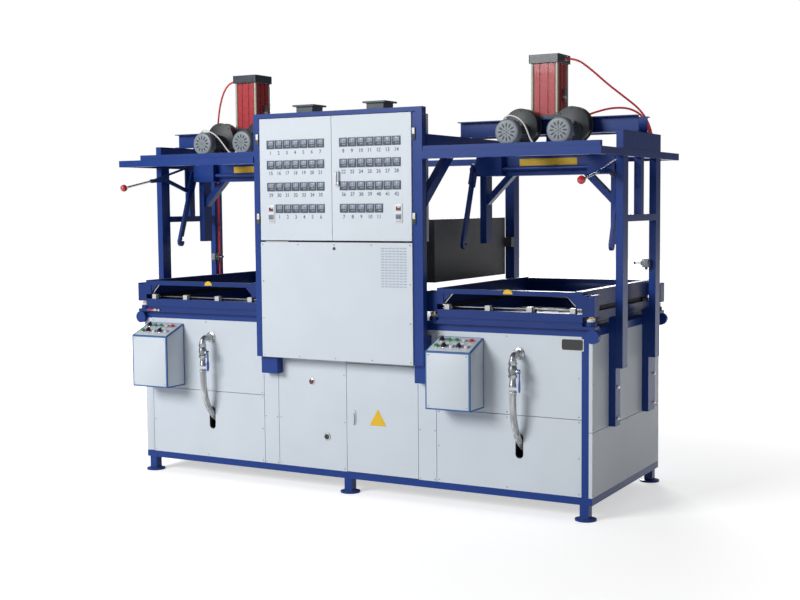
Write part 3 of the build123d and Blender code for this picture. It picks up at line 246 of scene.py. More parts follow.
def new_group(name, inputs):
    """A shader group with its sockets, its input node and its output node."""
    tree = bpy.data.node_groups.new(name, "ShaderNodeTree")
    for direction, sockets in (("INPUT", inputs), ("OUTPUT", SURFACE)):
        for socket, kind in sockets.items():
            tree.interface.new_socket(socket, in_out=direction, socket_type="NodeSocket" + kind)
    return tree, tree.nodes.new("NodeGroupInput").outputs, tree.nodes.new("NodeGroupOutput")


def put_out(tree, result, *values):
    """Links the colour, roughness and normal to the group's output."""
    for name, value in zip(SURFACE, values):
        tree.links.new(value, result.inputs[name])
    print("group:", tree.name)
    return tree


def make_paint_group():
    knobs = {"Colour": "Color", "Edge": "Color", "Gloss": "Float", "Dust": "Float", "Peel": "Float"}
    tree, given, result = new_group("painted metal", knobs)
    facts = wire(tree, "ShaderNodeNewGeometry").outputs
    place = here(tree)
    broad, smudge = noise(tree, place, 3.1, 4.0), noise(tree, place, 26.0, 5.0)
    soft = rounded(tree, 0.0018)
    normals = {0: soft, 1: facts["True Normal"]}
    along = wire(tree, "ShaderNodeVectorMath", normals, operation="DOT_PRODUCT").outputs["Value"]
    rubbed = sum_up(tree, "MULTIPLY", sum_up(tree, "SUBTRACT", 1.0, along), smudge)
    worn = remap(tree, rubbed, 0.03, 0.16, 0.0, 0.45)
    mottle = remap(tree, broad, 0.3, 0.7, 0.97, 1.03)
    edged = blend(tree, worn, scaled(tree, given["Colour"], mottle), given["Edge"])
    flat = remap(tree, part_of(tree, facts["Normal"], "Z"), 0.6, 1.0)
    settled = sum_up(tree, "MULTIPLY", flat, smudge)
    dust = sum_up(tree, "MULTIPLY", settled, given["Dust"])
    rough = sum_up(tree, "MULTIPLY_ADD", smudge, 0.16, given["Gloss"])
    rough = sum_up(tree, "ADD", rough, sum_up(tree, "MULTIPLY", dust, 0.3))
    normal = bumped(tree, noise(tree, place, 420.0, 2.0), given["Peel"], 0.0006, soft)
    return put_out(tree, result, blend(tree, dust, edged, DUST_TONE), rough, normal)


PAINT = make_paint_group()

# %% [markdown]
# Bare metal shows how it was worked: fine parallel marks from grinding or drawing, and a cloudy
# change in polish. The second group draws those marks along a direction that each material
# picks by stretching the noise.

# %% Worked metal
def make_metal_group():
    knobs = {"Colour": "Color", "Grain": "Vector", "Polish": "Float", "Depth": "Float"}
    tree, given, result = new_group("worked metal", knobs)
    place = here(tree)
    stretch = {0: place, 1: given["Grain"]}
    stretched = wire(tree, "ShaderNodeVectorMath", stretch, operation="MULTIPLY").outputs[0]
    marks, cloud = noise(tree, stretched, 1.0, 4.0), noise(tree, place, 18.0, 3.0)
    toned = scaled(tree, given["Colour"], remap(tree, marks, 0.3, 0.7, 0.8, 1.1))
    rough = sum_up(tree, "MULTIPLY_ADD", cloud, 0.25, given["Polish"])
    normal = bumped(tree, marks, given["Depth"], 0.0004, rounded(tree, 0.0012))
    return put_out(tree, result, toned, rough, normal)


METAL = make_metal_group()

# %% [markdown]
# Each material holds its own Principled shader. The groups only feed it, so a value that is the
# same all over the surface, such as the coat, stays on the shader's own socket.

# %% Material makers
def start_material(name):
    material = bpy.data.materials.new(name)
    material.use_nodes = True
    tree = material.node_tree
    tree.nodes.clear()
    shader = tree.nodes.new("ShaderNodeBsdfPrincipled")
    wire(tree, "ShaderNodeOutputMaterial", {"Surface": shader.outputs[0]})
    return material, tree, shader.inputs


def use_group(tree, group, values):
    node = tree.nodes.new("ShaderNodeGroup")
    node.node_tree = group
    for name, value in values.items():
        node.inputs[name].default_value = value
    return node.outputs


def feed(tree, sockets, group, values):
    """Plugs a group's colour, roughness and normal into the shader."""
    outputs = use_group(tree, group, values)
    for name, socket in zip(SURFACE, ("Base Color", "Roughness", "Normal")):
        tree.links.new(outputs[name], sockets[socket])


def paint_values(colour, edge, gloss, dust, peel=0.3):
    return {"Colour": (*colour, 1), "Edge": (*edge, 1), "Gloss": gloss, "Dust": dust, "Peel": peel}


def metal_values(colour, grain, polish, depth):
    return {"Colour": (*colour, 1), "Grain": grain, "Polish": polish, "Depth": depth}


def painted(name, colour, edge, gloss, dust, peel, coat=0.0, shine=0.5):
    material, tree, sockets = start_material(name)
    feed(tree, sockets, PAINT, paint_values(colour, edge, gloss, dust, peel))
    sockets["Specular IOR Level"].default_value = shine
    sockets["Coat Weight"].default_value = coat
    sockets["Coat Roughness"].default_value = 0.12
    return material


def worked(name, colour, grain, polish, depth):
    material, tree, sockets = start_material(name)
    feed(tree, sockets, METAL, metal_values(colour, grain, polish, depth))
    sockets["Metallic"].default_value = 1.0
    return material


print("material makers ready")

# %% [markdown]
# The machine's paints. The blue of the frames is glossy and deep, and rubs to a lighter blue at
# the edges. The panels are a pale blue grey with a satin powder coat.

# %% Paints and metals
FRAME_BLUE, FRAME_EDGE = (0.011, 0.045, 0.235), (0.05, 0.11, 0.36)
CLAMP_EDGE = (0.04, 0.08, 0.28)
BLUE = painted("frame blue", FRAME_BLUE, FRAME_EDGE, 0.24, 0.12, 0.2, 0.04, 0.22)
DEEP_BLUE = painted("clamp blue", (0.008, 0.032, 0.17), CLAMP_EDGE, 0.26, 0.15, 0.2, 0.03, 0.2)
PALE = painted("panel grey", (0.62, 0.68, 0.745), (0.72, 0.76, 0.8), 0.36, 0.12, 0.2)
BEZEL = painted("module grey", (0.058, 0.078, 0.115), (0.12, 0.15, 0.2), 0.34, 0.05, 0.4)
SLATE = painted("cap slate", (0.04, 0.06, 0.078), (0.13, 0.16, 0.18), 0.42, 0.35, 0.6)
MOTOR = painted("motor grey", (0.075, 0.095, 0.11), (0.2, 0.23, 0.25), 0.4, 0.4, 0.7)
COVER = painted("fan cover grey", (0.15, 0.185, 0.215), (0.34, 0.38, 0.4), 0.34, 0.2, 0.5)
SOOT = painted("blower black", (0.018, 0.025, 0.03), (0.09, 0.1, 0.11), 0.38, 0.4, 0.8)
COWL = painted("cowl slate", (0.05, 0.07, 0.085), (0.16, 0.18, 0.2), 0.4, 0.4, 0.5)
OVEN = painted("oven grey", (0.085, 0.09, 0.095), (0.2, 0.2, 0.2), 0.42, 0.4, 0.6)
RED = painted("cylinder red", (0.36, 0.022, 0.03), (0.55, 0.12, 0.12), 0.22, 0.15, 0.25, 0.4)
KNOB_RED = painted("grip red", (0.55, 0.012, 0.014), (0.7, 0.1, 0.1), 0.12, 0.05, 0.1, 0.6)
LABEL = painted("label yellow", (0.8, 0.5, 0.025), (0.8, 0.55, 0.1), 0.35, 0.05, 0.1, 0.0, 0.3)
WHITE_PLASTIC = painted("white plastic", (0.72, 0.73, 0.74), (0.78,) * 3, 0.34, 0.15, 0.2)
BLACK_PLASTIC = painted("black plastic", (0.014, 0.015, 0.017), (0.06, 0.06, 0.065), 0.34, 0.15, 0.5)
RUBBER = painted("rubber", (0.02, 0.02, 0.022), (0.05, 0.05, 0.05), 0.6, 0.4, 0.9)
GREEN = painted("button green", (0.02, 0.33, 0.09), (0.1, 0.45, 0.2), 0.16, 0.0, 0.1, 0.5)
LEVER_BLUE = painted("lever blue", (0.04, 0.12, 0.5), (0.2, 0.3, 0.6), 0.25, 0.1, 0.2, 0.3)
CERAMIC = painted("heater ceramic", (0.6, 0.58, 0.54), (0.7, 0.68, 0.64), 0.5, 0.1, 0.4)
STEEL = worked("drawn steel", (0.58, 0.59, 0.6), (90, 90, 40), 0.18, 0.08)
ALUMINIUM = worked("milled aluminium", (0.2, 0.21, 0.22), (500, 12, 30), 0.26, 0.2)
print(len(bpy.data.materials), "materials")

# %% [markdown]
# Some solids carry more than one finish, such as a red barrel with steel tie rods. The finish
# then depends on where a point lies. A mask is made from the Object coordinates, and it picks
# one of two groups. Both stations share one material, because the distance from the station's
# middle is the same on either side.

# %% Finishes that change with the place
BRIGHT = metal_values((0.62, 0.63, 0.64), (60, 60, 700), 0.14, 0.1)


def off_station(tree):
    """How far a point lies from the middle of its station, along X."""
    x = part_of(tree, here(tree), "X")
    from_middle = sum_up(tree, "SUBTRACT", sum_up(tree, "ABSOLUTE", x), STATION["right"])
    return sum_up(tree, "ABSOLUTE", from_middle)


def over(tree, value, limit):
    return sum_up(tree, "GREATER_THAN", value, limit)


def under(tree, value, limit):
    return sum_up(tree, "LESS_THAN", value, limit)


def two_finishes(name, make_mask, paint, shine=0.25, coat=0.0):
    """Paint where the mask is 0, and bright metal where it is 1."""
    material, tree, sockets = start_material(name)
    mask = make_mask(tree)
    cover, bare = use_group(tree, PAINT, paint), use_group(tree, METAL, BRIGHT)
    colour = blend(tree, mask, cover["Colour"], bare["Colour"])
    rough = remap(tree, mask, 0.0, 1.0, cover["Roughness"], bare["Roughness"])
    links = {"Base Color": colour, "Roughness": rough, "Metallic": mask, "Normal": cover["Normal"]}
    for name, value in links.items():
        tree.links.new(value, sockets[name])
    sockets["Specular IOR Level"].default_value = shine
    sockets["Coat Weight"].default_value = coat
    return material, tree, sockets


def third_colour(tree, sockets, share, colour):
    """Lays one more colour over what feeds the shader."""
    below = sockets["Base Color"].links[0].from_socket
    tree.links.new(blend(tree, share, below, colour), sockets["Base Color"])


print("place masks ready")

# %% [markdown]
# The cylinder's barrel is red between a slate seat and a slate cap, and its four tie rods are
# bright. The rods stand near the corners, so their mask is the distance from a corner.

# %% Cylinder finish
CYLINDER_LOW, CYLINDER_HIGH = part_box("cylinder_left")
TIE_OFF = 0.074
TIE_R = 0.0085
CAP_BOTTOM = CYLINDER_HIGH.z - 0.048
SEAT_TOP = CYLINDER_LOW.z + 0.02
AXIS_Y = (CYLINDER_LOW.y + CYLINDER_HIGH.y) / 2
HAIR = 0.0002


def tie_rods(tree):
    across = sum_up(tree, "SUBTRACT", off_station(tree), TIE_OFF)
    from_axis = sum_up(tree, "SUBTRACT", part_of(tree, here(tree), "Y"), AXIS_Y)
    along = sum_up(tree, "SUBTRACT", sum_up(tree, "ABSOLUTE", from_axis), TIE_OFF)
    squares = sum_up(tree, "POWER", across, 2.0), sum_up(tree, "POWER", along, 2.0)
    distance = sum_up(tree, "SQRT", sum_up(tree, "ADD", *squares))
    below_cap = under(tree, part_of(tree, here(tree), "Z"), CAP_BOTTOM)
    return sum_up(tree, "MULTIPLY", under(tree, distance, TIE_R), below_cap)


red = paint_values((0.44, 0.024, 0.036), (0.55, 0.1, 0.1), 0.2, 0.1)
CYLINDER, tree, sockets = two_finishes("cylinder", tie_rods, red, 0.3, 0.12)
height = part_of(tree, here(tree), "Z")
above, below = over(tree, height, CAP_BOTTOM - HAIR), under(tree, height, SEAT_TOP + HAIR)
slate = paint_values((0.03, 0.045, 0.06), (0.09, 0.11, 0.13), 0.42, 0.1)
slate = use_group(tree, PAINT, slate)["Colour"]
third_colour(tree, sockets, sum_up(tree, "ADD", above, below), slate)
print("material:", CYLINDER.name)

# %% [markdown]
# The clamp frames are blue, with white clamping pads and bright guide rods at the corners. The
# hook shafts are blue too, and bare where the lever's rod stands ahead of the frame.

# %% Clamp and shaft finishes
PAD_BOTTOM = 1.0955
PAD_TONE = (0.6, 0.61, 0.6, 1)
ROD_INNER = 0.43
COLLAR_TOP = 1.053
LEVER_END = FRONT + 0.08


def guide_rods(tree):
    outside = over(tree, off_station(tree), ROD_INNER)
    return sum_up(tree, "MULTIPLY", outside, over(tree, part_of(tree, here(tree), "Z"), COLLAR_TOP))


def lever_rod(tree):
    return under(tree, part_of(tree, here(tree), "Y"), LEVER_END)


clamp_paint = paint_values((0.009, 0.036, 0.19), CLAMP_EDGE, 0.26, 0.15)
LOWER_CLAMP, tree, sockets = two_finishes("lower clamp", guide_rods, clamp_paint)
inside = under(tree, off_station(tree), ROD_INNER)
pads = sum_up(tree, "MULTIPLY", inside, over(tree, part_of(tree, here(tree), "Z"), PAD_BOTTOM))
third_colour(tree, sockets, pads, PAD_TONE)
HOOKS = two_finishes("hooks", lever_rod, paint_values(FRAME_BLUE, FRAME_EDGE, 0.24, 0.12))[0]
print("materials:", LOWER_CLAMP.name, HOOKS.name)

# %% [markdown]
# The new pieces are modelled the way it is done by hand: a primitive is added, shaped in edit
# mode and joined with its neighbours. These helpers hold the steps that come back all the time.
# A box gets rounded edges, and a turned piece is a disc that is drawn out level by level.

# %% Modelling helpers
def alone(piece):
    """Selects only this piece and makes it the active one."""
    bpy.ops.object.select_all(action="DESELECT")
    piece.select_set(True)
    bpy.context.view_layer.objects.active = piece


@contextmanager
def editing(selection=None):
    """Edit mode on the active piece, with everything selected or deselected first if asked."""
    bpy.ops.object.mode_set(mode="EDIT")
    if selection:
        bpy.ops.mesh.select_all(action=selection)
    yield
    bpy.ops.object.mode_set(mode="OBJECT")


def settle(piece, material):
    """Applies the piece's place, turn and size to its mesh, and gives it one material."""
    alone(piece)
    bpy.ops.object.transform_apply(location=True, rotation=True, scale=True)
    piece.data.materials.clear()
    piece.data.materials.append(material)
    return piece


def block(low, high, material, edge=0.001):
    """A box between two corners, with rounded edges."""
    low, high = Vector(low), Vector(high)
    bpy.ops.mesh.primitive_cube_add(size=1, location=(low + high) / 2)
    piece = bpy.context.object
    piece.scale = high - low
    settle(piece, material)
    if edge:
        with editing("SELECT"):
            bpy.ops.mesh.bevel(offset=edge, segments=2, affect="EDGES")
    return piece


def turned(levels, place, axis, material, sides=24):
    """A disc drawn out along the axis through levels of (radius, height)."""
    radius, height = levels[0]
    bpy.ops.mesh.primitive_circle_add(
        vertices=sides, radius=radius, fill_type="NGON", location=(0, 0, height)
    )
    piece = bpy.context.object
    alone(piece)
    bpy.ops.object.transform_apply(location=True)
    with editing("SELECT"):
        for before, (radius, height) in zip(levels, levels[1:]):
            rise = (0, 0, height - before[1])
            bpy.ops.mesh.extrude_region_move(TRANSFORM_OT_translate={"value": rise})
            grow = radius / before[0]
            bpy.ops.transform.resize(value=(grow, grow, 1), center_override=(0, 0, height))
        bpy.ops.mesh.select_all(action="SELECT")
        bpy.ops.mesh.normals_make_consistent(inside=False)
    piece.rotation_euler = Vector(axis).to_track_quat("Z", "Y").to_euler()
    piece.location = place
    return settle(piece, material)


def rod(start, end, radius, material, sides=20, edge=0.0008):
    """A round bar from one point to another, with rounded rims."""
    start, end = Vector(start), Vector(end)
    length = (end - start).length
    levels = [(radius - edge, 0), (radius, edge), (radius, length - edge), (radius - edge, length)]
    return turned(levels, start, end - start, material, sides)


def facing(levels, x, z, material, sides, y=FRONT):
    """A turned piece that looks forward, from the front panels if y isn't given."""
    return turned(levels, (x, y, z), FORWARD, material, sides)


def join(parts):
    """Several pieces made one."""
    bpy.ops.object.select_all(action="DESELECT")
    for part in parts:
        part.select_set(True)
    bpy.context.view_layer.objects.active = parts[0]
    if len(parts) > 1:
        bpy.ops.object.join()
    return parts[0]


def sink(piece, normal, border, depth, material):
    """Sinks the largest face that looks along the normal, and gives it another material."""
    normal = Vector(normal)
    piece.data.materials.append(material)
    alone(piece)
    with editing("DESELECT"):
        bpy.ops.mesh.select_mode(type="FACE")
    flat = [face for face in piece.data.polygons if face.normal.dot(normal) > 0.999]
    max(flat, key=lambda face: face.area).select = True
    with editing():
        bpy.ops.mesh.inset(thickness=border)
        bpy.ops.mesh.extrude_region_move(TRANSFORM_OT_translate={"value": -depth * normal})
        piece.active_material_index = len(piece.data.materials) - 1
        bpy.ops.object.material_slot_assign()
    return piece


print("modelling helpers ready")

# %% [markdown]
# Much of the machine repeats. A piece is then modelled once and copied, each copy with its own
# mesh, along a row, round an axis or to both stations. A finished piece gets its name, rides on
# the body that moves it and hides the solid it stands for.

# %% Copies and finished pieces
def shift(x=0, y=0, z=0):
    return Matrix.Translation((x, y, z))


def moved_copy(piece, matrix):
    """A copy with its own mesh, moved by the matrix."""
    copy = piece.copy()
    copy.data = piece.data.copy()
    copy.data.transform(matrix)
    bpy.context.scene.collection.objects.link(copy)
    return copy


def copies_of(piece, matrices):
    """The piece again at each matrix, all joined to one."""
    copies = [moved_copy(piece, matrix) for matrix in matrices]
    bpy.data.objects.remove(piece)
    return join(copies)


def spread(piece, offsets):
    """The piece again at each offset from where it was made."""
    return copies_of(piece, [Matrix.Translation(offset) for offset in offsets])


def grid(xs, ys=(0,), zs=(0,)):
    """Offsets along the three axes, in every combination."""
    return [(x, y, z) for x in xs for y in ys for z in zs]


def around(piece, centre, axis, count):
    """The piece again all round an axis."""
    to_centre = Matrix.Translation(centre)
    turns = [Matrix.Rotation(2 * math.pi * step / count, 4, axis) for step in range(count)]
    return copies_of(piece, [to_centre @ turn @ to_centre.inverted() for turn in turns])


def hand_in(name, body, parts, replaced=None):
    """Joins the parts, names the piece, smooths it and says what it rides on."""
    piece = join(parts)
    piece.name = piece.data.name = name
    alone(piece)
    bpy.ops.object.shade_smooth_by_angle(angle=math.radians(38))
    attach(piece, body)
    if replaced:
        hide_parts(replaced)
    print(name, len(piece.data.polygons), "faces")


def hand_in_pair(name, body, parts, replaced=None):
    """Hands in what was made as if its station stood at x = 0, once for each station.

    A star in the name of the body or of the replaced solid stands for the station.
    """
    whole = join(parts)
    copies = {side: moved_copy(whole, shift(x)) for side, x in STATION.items()}
    bpy.data.objects.remove(whole)
    for side, piece in copies.items():
        solid = replaced and replaced.replace("*", side)
        hand_in(f"{name}_{side}", body.replace("*", side), [piece], solid)


print("copying helpers ready")

# %% [markdown]
# The console doors carry three full rows of heater modules, a short fourth row and a meter each.
# A module is a square bezel with a sunk face, a pale screen with dark digits and three keys. It is
# modelled once and copied to every window. The digits are bars, as on any such display.

# %% Heater modules
PITCH = 0.057
ROWS = (2.023, 1.906, 1.779, 1.653)
MODULE_MIDDLE = {"left": -0.268, "right": 0.228}
SHORT_ROW = {"left": range(1, 7), "right": range(5)}
SCREEN = painted("screen grey", (0.36, 0.44, 0.55), (0.45, 0.53, 0.62), 0.2, 0.0, 0.1)
INK = painted("number ink", (0.1, 0.12, 0.19), (0.12, 0.14, 0.2), 0.4, 0.0, 0.1)


def make_module():
    bezel = block((-0.0258, -0.004, -0.0248), (0.0258, 0, 0.0248), BEZEL, 0.0012)
    sink(bezel, FORWARD, 0.0045, 0.0016, BEZEL)
    inside = block((-0.0215, 0, -0.0215), (0.0215, 0.04, 0.0215), BLACK_PLASTIC)
    screen = block((-0.016, -0.0036, -0.003), (0.0185, -0.002, 0.0185), SCREEN, 0.0005)
    level = block((-0.0035, -0.0042, -0.0009), (0.0035, -0.0034, 0.0009), INK, 0)
    bars = spread(level, grid((-0.0075, 0.0085), zs=(0.0005, 0.0077, 0.015)))
    post = block((-0.0009, -0.0042, -0.0028), (0.0009, -0.0034, 0.0028), INK, 0)
    posts = spread(post, grid((-0.0115, -0.0035, 0.0045, 0.0125), zs=(0.0041, 0.0113)))
    key = block((-0.0028, -0.0042, -0.0022), (0.0028, -0.002, 0.0022), SCREEN, 0.0006)
    keys = spread(key, grid((-0.001, 0.0065, 0.014), zs=(-0.0125,)))
    lamp = block((-0.0185, -0.0036, -0.0165), (-0.009, -0.002, -0.0065), BEZEL, 0.0006)
    return join([bezel, inside, screen, bars, posts, keys, lamp])


def column_x(name, column):
    return MODULE_MIDDLE[name] + (column - 3) * PITCH


def module_places(name):
    full = [(column_x(name, column), z) for z in ROWS[:3] for column in range(7)]
    return full + [(column_x(name, column), ROWS[3]) for column in SHORT_ROW[name]]


module = make_module()
modules = {}
for name in SIDES:
    places = [(x, DOOR_FACE, z) for x, z in module_places(name)]
    modules[name] = spread(moved_copy(module, Matrix()), places)
bpy.data.objects.remove(module)
print("modules:", {name: len(module_places(name)) for name in SIDES})

# %% [markdown]
# Beside the fourth row each door has a tall meter: a white plate with a dark red window, a grey
# ribbed switch block and a narrow strip.

# %% Meters
METER_COLUMN = {"left": 0, "right": 6.2}
METER_W, METER_H = 0.048, 0.108
METER_Z = ROWS[3] + 0.024 - METER_H / 2
WINDOW_RED = painted("window red", (0.12, 0.008, 0.014), (0.2, 0.03, 0.04), 0.1, 0.0, 0.05, 0.5)


def make_meter():
    low, high = (-METER_W / 2, -0.004, -METER_H / 2), (METER_W / 2, 0, METER_H / 2)
    plate = block(low, high, WHITE_PLASTIC, 0.0015)
    inside = block((-0.0215, 0, -0.0515), (0.0215, 0.04, 0.0515), BLACK_PLASTIC)
    window = block((-0.014, -0.006, 0.016), (0.014, -0.0035, 0.036), WINDOW_RED, 0.001)
    surround = block((-0.0165, -0.005, 0.0135), (0.0165, -0.0038, 0.0385), SCREEN, 0.0005)
    switch = block((-0.016, -0.0085, -0.032), (0.016, -0.0035, -0.004), SCREEN, 0.001)
    rib = block((-0.014, -0.0105, -0.0012), (0.014, -0.008, 0.0012), BEZEL, 0.0005)
    ribs = spread(rib, [(0, 0, -0.028 + 0.005 * step) for step in range(5)])
    line = block((-0.016, -0.0052, -0.046), (0.016, -0.0038, -0.0395), SCREEN, 0.0005)
    return join([plate, inside, window, surround, switch, ribs, line])


meter = make_meter()
for name in SIDES:
    placed = moved_copy(meter, shift(column_x(name, METER_COLUMN[name]), DOOR_FACE, METER_Z))
    parts = [modules[name], placed]
    hand_in(f"modules_{name}", f"door_{name}", parts, f"power_modules_{name}")
bpy.data.objects.remove(meter)

# %% [markdown]
# Each module has its number printed below it. A text object makes the figures, and it is turned
# into a mesh before its place is applied. They are thin enough to read as print.

# %% Numbers under the modules
NUMBERS = {
    "left": [*range(1, 8), *range(15, 22), *range(29, 36), *range(1, 7)],
    "right": [*range(8, 15), *range(22, 29), *range(36, 43), *range(7, 12)],
}
NUMBER_SIZE = 0.029
NUMBER_DROP = 0.0575
PRINT = 0.0002


def printed(text, x, z):
    bpy.ops.object.text_add(location=(x, DOOR_FACE - PRINT, z), rotation=(math.pi / 2, 0, 0))
    label = bpy.context.object
    label.data.body = text
    label.data.size = NUMBER_SIZE
    label.data.align_x = "CENTER"
    label.data.extrude = PRINT
    label.data.offset = 0.0005
    label.data.resolution_u = 3
    alone(label)
    bpy.ops.object.convert(target="MESH")
    return settle(bpy.context.object, INK)


for name in SIDES:
    numbered = zip(NUMBERS[name], module_places(name))
    figures = [printed(str(number), x, z - NUMBER_DROP) for number, (x, z) in numbered]
    hand_in(f"numbers_{name}", f"door_{name}", figures)

# %% [markdown]
# Small sheet-metal screws hold every panel. The head is a low dome, and its cross slot is two thin
# black bars on it, painted shade for the slot's groove. It is modelled looking forward, copied
# round the rim of each sheet and turned with the sheet.

# %% Panel screws
SCREW_R = 0.0048
PANEL_LOW, SEAM, PANEL_HIGH = 0.124, 0.535, 0.974
WHOLE = (PANEL_LOW, PANEL_HIGH)
STATION_SHEET = (0.585, 1.44)
CENTRE_SHEETS = (
    ((-0.582, -0.480), WHOLE, 2, 4, 0.01),
    ((-0.477, -0.005), WHOLE, 2, 4),
    ((-0.002, 0.466), (0.763, PANEL_HIGH), 3, 2),
    ((0.469, 0.582), WHOLE, 2, 4, 0.01),
)
CONSOLE_SHEET = ((-0.518, 0.493), (0.784, 1.46), 5, 4)
CENTRE_BACK = (-0.582, 0.582)
SIDE_FACE, SIDE_SEAM = 1.5, 0.471


def make_screw():
    levels = [(SCREW_R, 0), (SCREW_R, 0.0008), (SCREW_R * 0.75, 0.002), (SCREW_R * 0.4, 0.0025)]
    parts = [turned(levels, (0, 0, 0), FORWARD, STEEL, 12)]
    # The slot is not cut: two black bars are painted shade where its groove lies.
    for x, z in ((0.0026, 0.0005), (0.0005, 0.0026)):
        parts.append(block((-x, -0.0029, -z), (x, -0.0022, z), BLACK_PLASTIC, 0))
    return join(parts)


def screws_at(places, y):
    """A screw at each place across and up, all looking forward."""
    return spread(make_screw(), [(x, y, z) for x, z in places])


def evenly(low, high, count):
    """Evenly spaced places from one value to another."""
    return [low + (high - low) * step / (count - 1) for step in range(count)]


def rim(x_ends, z_ends, across, up, inset=0.014):
    """Places round a sheet's rim, that many across and up."""
    xs = evenly(min(x_ends) + inset, max(x_ends) - inset, across)
    zs = evenly(min(z_ends) + inset, max(z_ends) - inset, up)
    level = [(x, z) for x in xs for z in (zs[0], zs[-1])]
    return level + [(x, z) for x in (xs[0], xs[-1]) for z in zs[1:-1]]


front_places, rear_places = [], rim(CENTRE_BACK, WHOLE, 4, 4)
for side in SIDES.values():
    ends = [side * x for x in STATION_SHEET]
    front_places += rim(ends, (SEAM, PANEL_HIGH), 3, 3) + rim(ends, (PANEL_LOW, SEAM), 3, 3)
    rear_places += rim(ends, WHOLE, 3, 4)
for sheet in CENTRE_SHEETS:
    front_places += rim(*sheet)
screws = [screws_at(front_places, FRONT), screws_at(rim(*CONSOLE_SHEET), DOOR_FACE)]
hand_in("front_screws", "machine", screws)

rear = screws_at(rear_places, FRONT)
rear.data.transform(shift(y=FRONT + BACK) @ Matrix.Rotation(math.pi, 4, "Z"))
hand_in("rear_screws", "machine", [rear])

depth = (FRONT, BACK)
side_places = rim(depth, (SIDE_SEAM, PANEL_HIGH), 3, 3) + rim(depth, (PANEL_LOW, SIDE_SEAM), 3, 3)
for name, side in SIDES.items():
    # The left side has no screw in its rear upper corner.
    screws = screws_at([(y, z) for y, z in side_places if side > 0 or y > 0.1 or z < 0.9], 0)
    turn = Matrix.Rotation(side * math.pi / 2, 4, "Z")
    screws.data.transform(shift(side * SIDE_FACE) @ turn)
    if side < 0:
        screws.data.transform(shift(y=FRONT + BACK))
    hand_in(f"side_screws_{name}", "machine", [screws])

# %% [markdown]
# The control boxes are blue frames with pale plates screwed on, so that a thin blue line shows
# along every edge. The solid gets the trim colour, and the plates stand a little proud of it.

# %% Control boxes
BOX_X, BOX_Y, BOX_Z = (-0.427, -0.157), (-0.195, -0.025), 0.56
BOX_TOPS = (0.878, 0.944)
TRIM = 0.0085
PROUD, SEAT = 0.0012, 0.001
PLATE_EDGE = 0.0006
TRIM_BLUE = painted("trim blue", (0.03, 0.12, 0.34), (0.1, 0.24, 0.5), 0.3, 0.1, 0.2)
SLOPE = math.atan2(BOX_TOPS[1] - BOX_TOPS[0], BOX_Y[1] - BOX_Y[0])
SLOPE_LENGTH = math.hypot(BOX_TOPS[1] - BOX_TOPS[0], BOX_Y[1] - BOX_Y[0])
HALF_W, HALF_L = (BOX_X[1] - BOX_X[0]) / 2 - TRIM, SLOPE_LENGTH / 2 - TRIM


def side_plate(x):
    """A side plate, whose upper edge is moved onto the slope of the box."""
    low, high = (x - PROUD, BOX_Y[0] + TRIM, BOX_Z + TRIM), (x + PROUD, BOX_Y[1] - TRIM, 0.9)
    plate = block(low, high, PALE, PLATE_EDGE)
    for vertex in plate.data.vertices:
        if vertex.co.z > 0.8:
            slope_height = BOX_TOPS[0] + (vertex.co.y - BOX_Y[0]) * math.tan(SLOPE)
            vertex.co.z = slope_height - TRIM - (high[2] - vertex.co.z)
    return plate


def onto_slope(piece):
    """Moves what was modelled flat on z = 0 onto the sloping top."""
    middle = shift((BOX_X[0] + BOX_X[1]) / 2, sum(BOX_Y) / 2, sum(BOX_TOPS) / 2)
    piece.data.transform(middle @ Matrix.Rotation(SLOPE, 4, "X"))
    return piece


front_x, front_z = (BOX_X[0] + TRIM, BOX_X[1] - TRIM), (BOX_Z + TRIM, BOX_TOPS[0] - TRIM)
low, high = (front_x[0], BOX_Y[0] - PROUD, front_z[0]), (front_x[1], BOX_Y[0] + SEAT, front_z[1])
front_plate = block(low, high, PALE, PLATE_EDGE)
top_plate = block((-HALF_W, -HALF_L, -SEAT), (HALF_W, HALF_L, PROUD), PALE, PLATE_EDGE)
box_screws = screws_at(rim(front_x, front_z, 2, 2, 0.012), BOX_Y[0] - SEAT)
plates = [front_plate, onto_slope(top_plate), side_plate(BOX_X[0]), side_plate(BOX_X[1])]
hand_in_pair("box_plates", "machine", [*plates, box_screws])

# %% [markdown]
# Ten controls stand on the slope in two rows: push buttons with a bright bezel and a coloured
# cap, and dark selector knobs with a grip and a white mark. All are made flat, each at its
# place in the rows, and then tilted onto the box together.

# %% Buttons and knobs
COLUMNS = (-0.09, -0.045, 0, 0.045, 0.09)
ROW_OFF = SLOPE_LENGTH / 5
CAP_WHITE = painted("button white", (0.7, 0.71, 0.7), (0.78,) * 3, 0.2, 0.0, 0.1, 0.4)
CAP_RED = painted("button red", (0.6, 0.03, 0.02), (0.7, 0.1, 0.1), 0.16, 0.0, 0.1, 0.5)
KNOB_BLUE = painted("knob dark blue", (0.02, 0.025, 0.09), (0.06, 0.07, 0.15), 0.25, 0.05, 0.2)


def standing(levels, x, y, material):
    return turned(levels, (x, y, SEAT), UP, material)


def button(x, y, material):
    ring = [(0.0162, 0), (0.0162, 0.003), (0.0145, 0.006), (0.0125, 0.006)]
    cap = [(0.0122, 0.005), (0.0122, 0.013), (0.0112, 0.0148), (0.008, 0.0155)]
    return join([standing(ring, x, y, STEEL), standing(cap, x, y, material)])


def selector(x, y, material):
    collar = standing([(0.0172, 0), (0.0172, 0.004), (0.015, 0.0065)], x, y, STEEL)
    drum = standing([(0.0155, 0.004), (0.0155, 0.013), (0.014, 0.0145)], x, y, material)
    grip = block((x - 0.0052, y - 0.0155, 0.013), (x + 0.0052, y + 0.0155, 0.026), material, 0.0016)
    mark = block((x - 0.0009, y + 0.003, 0.0255), (x + 0.0009, y + 0.014, 0.0266), CAP_WHITE, 0.0002)
    return join([collar, drum, grip, mark])


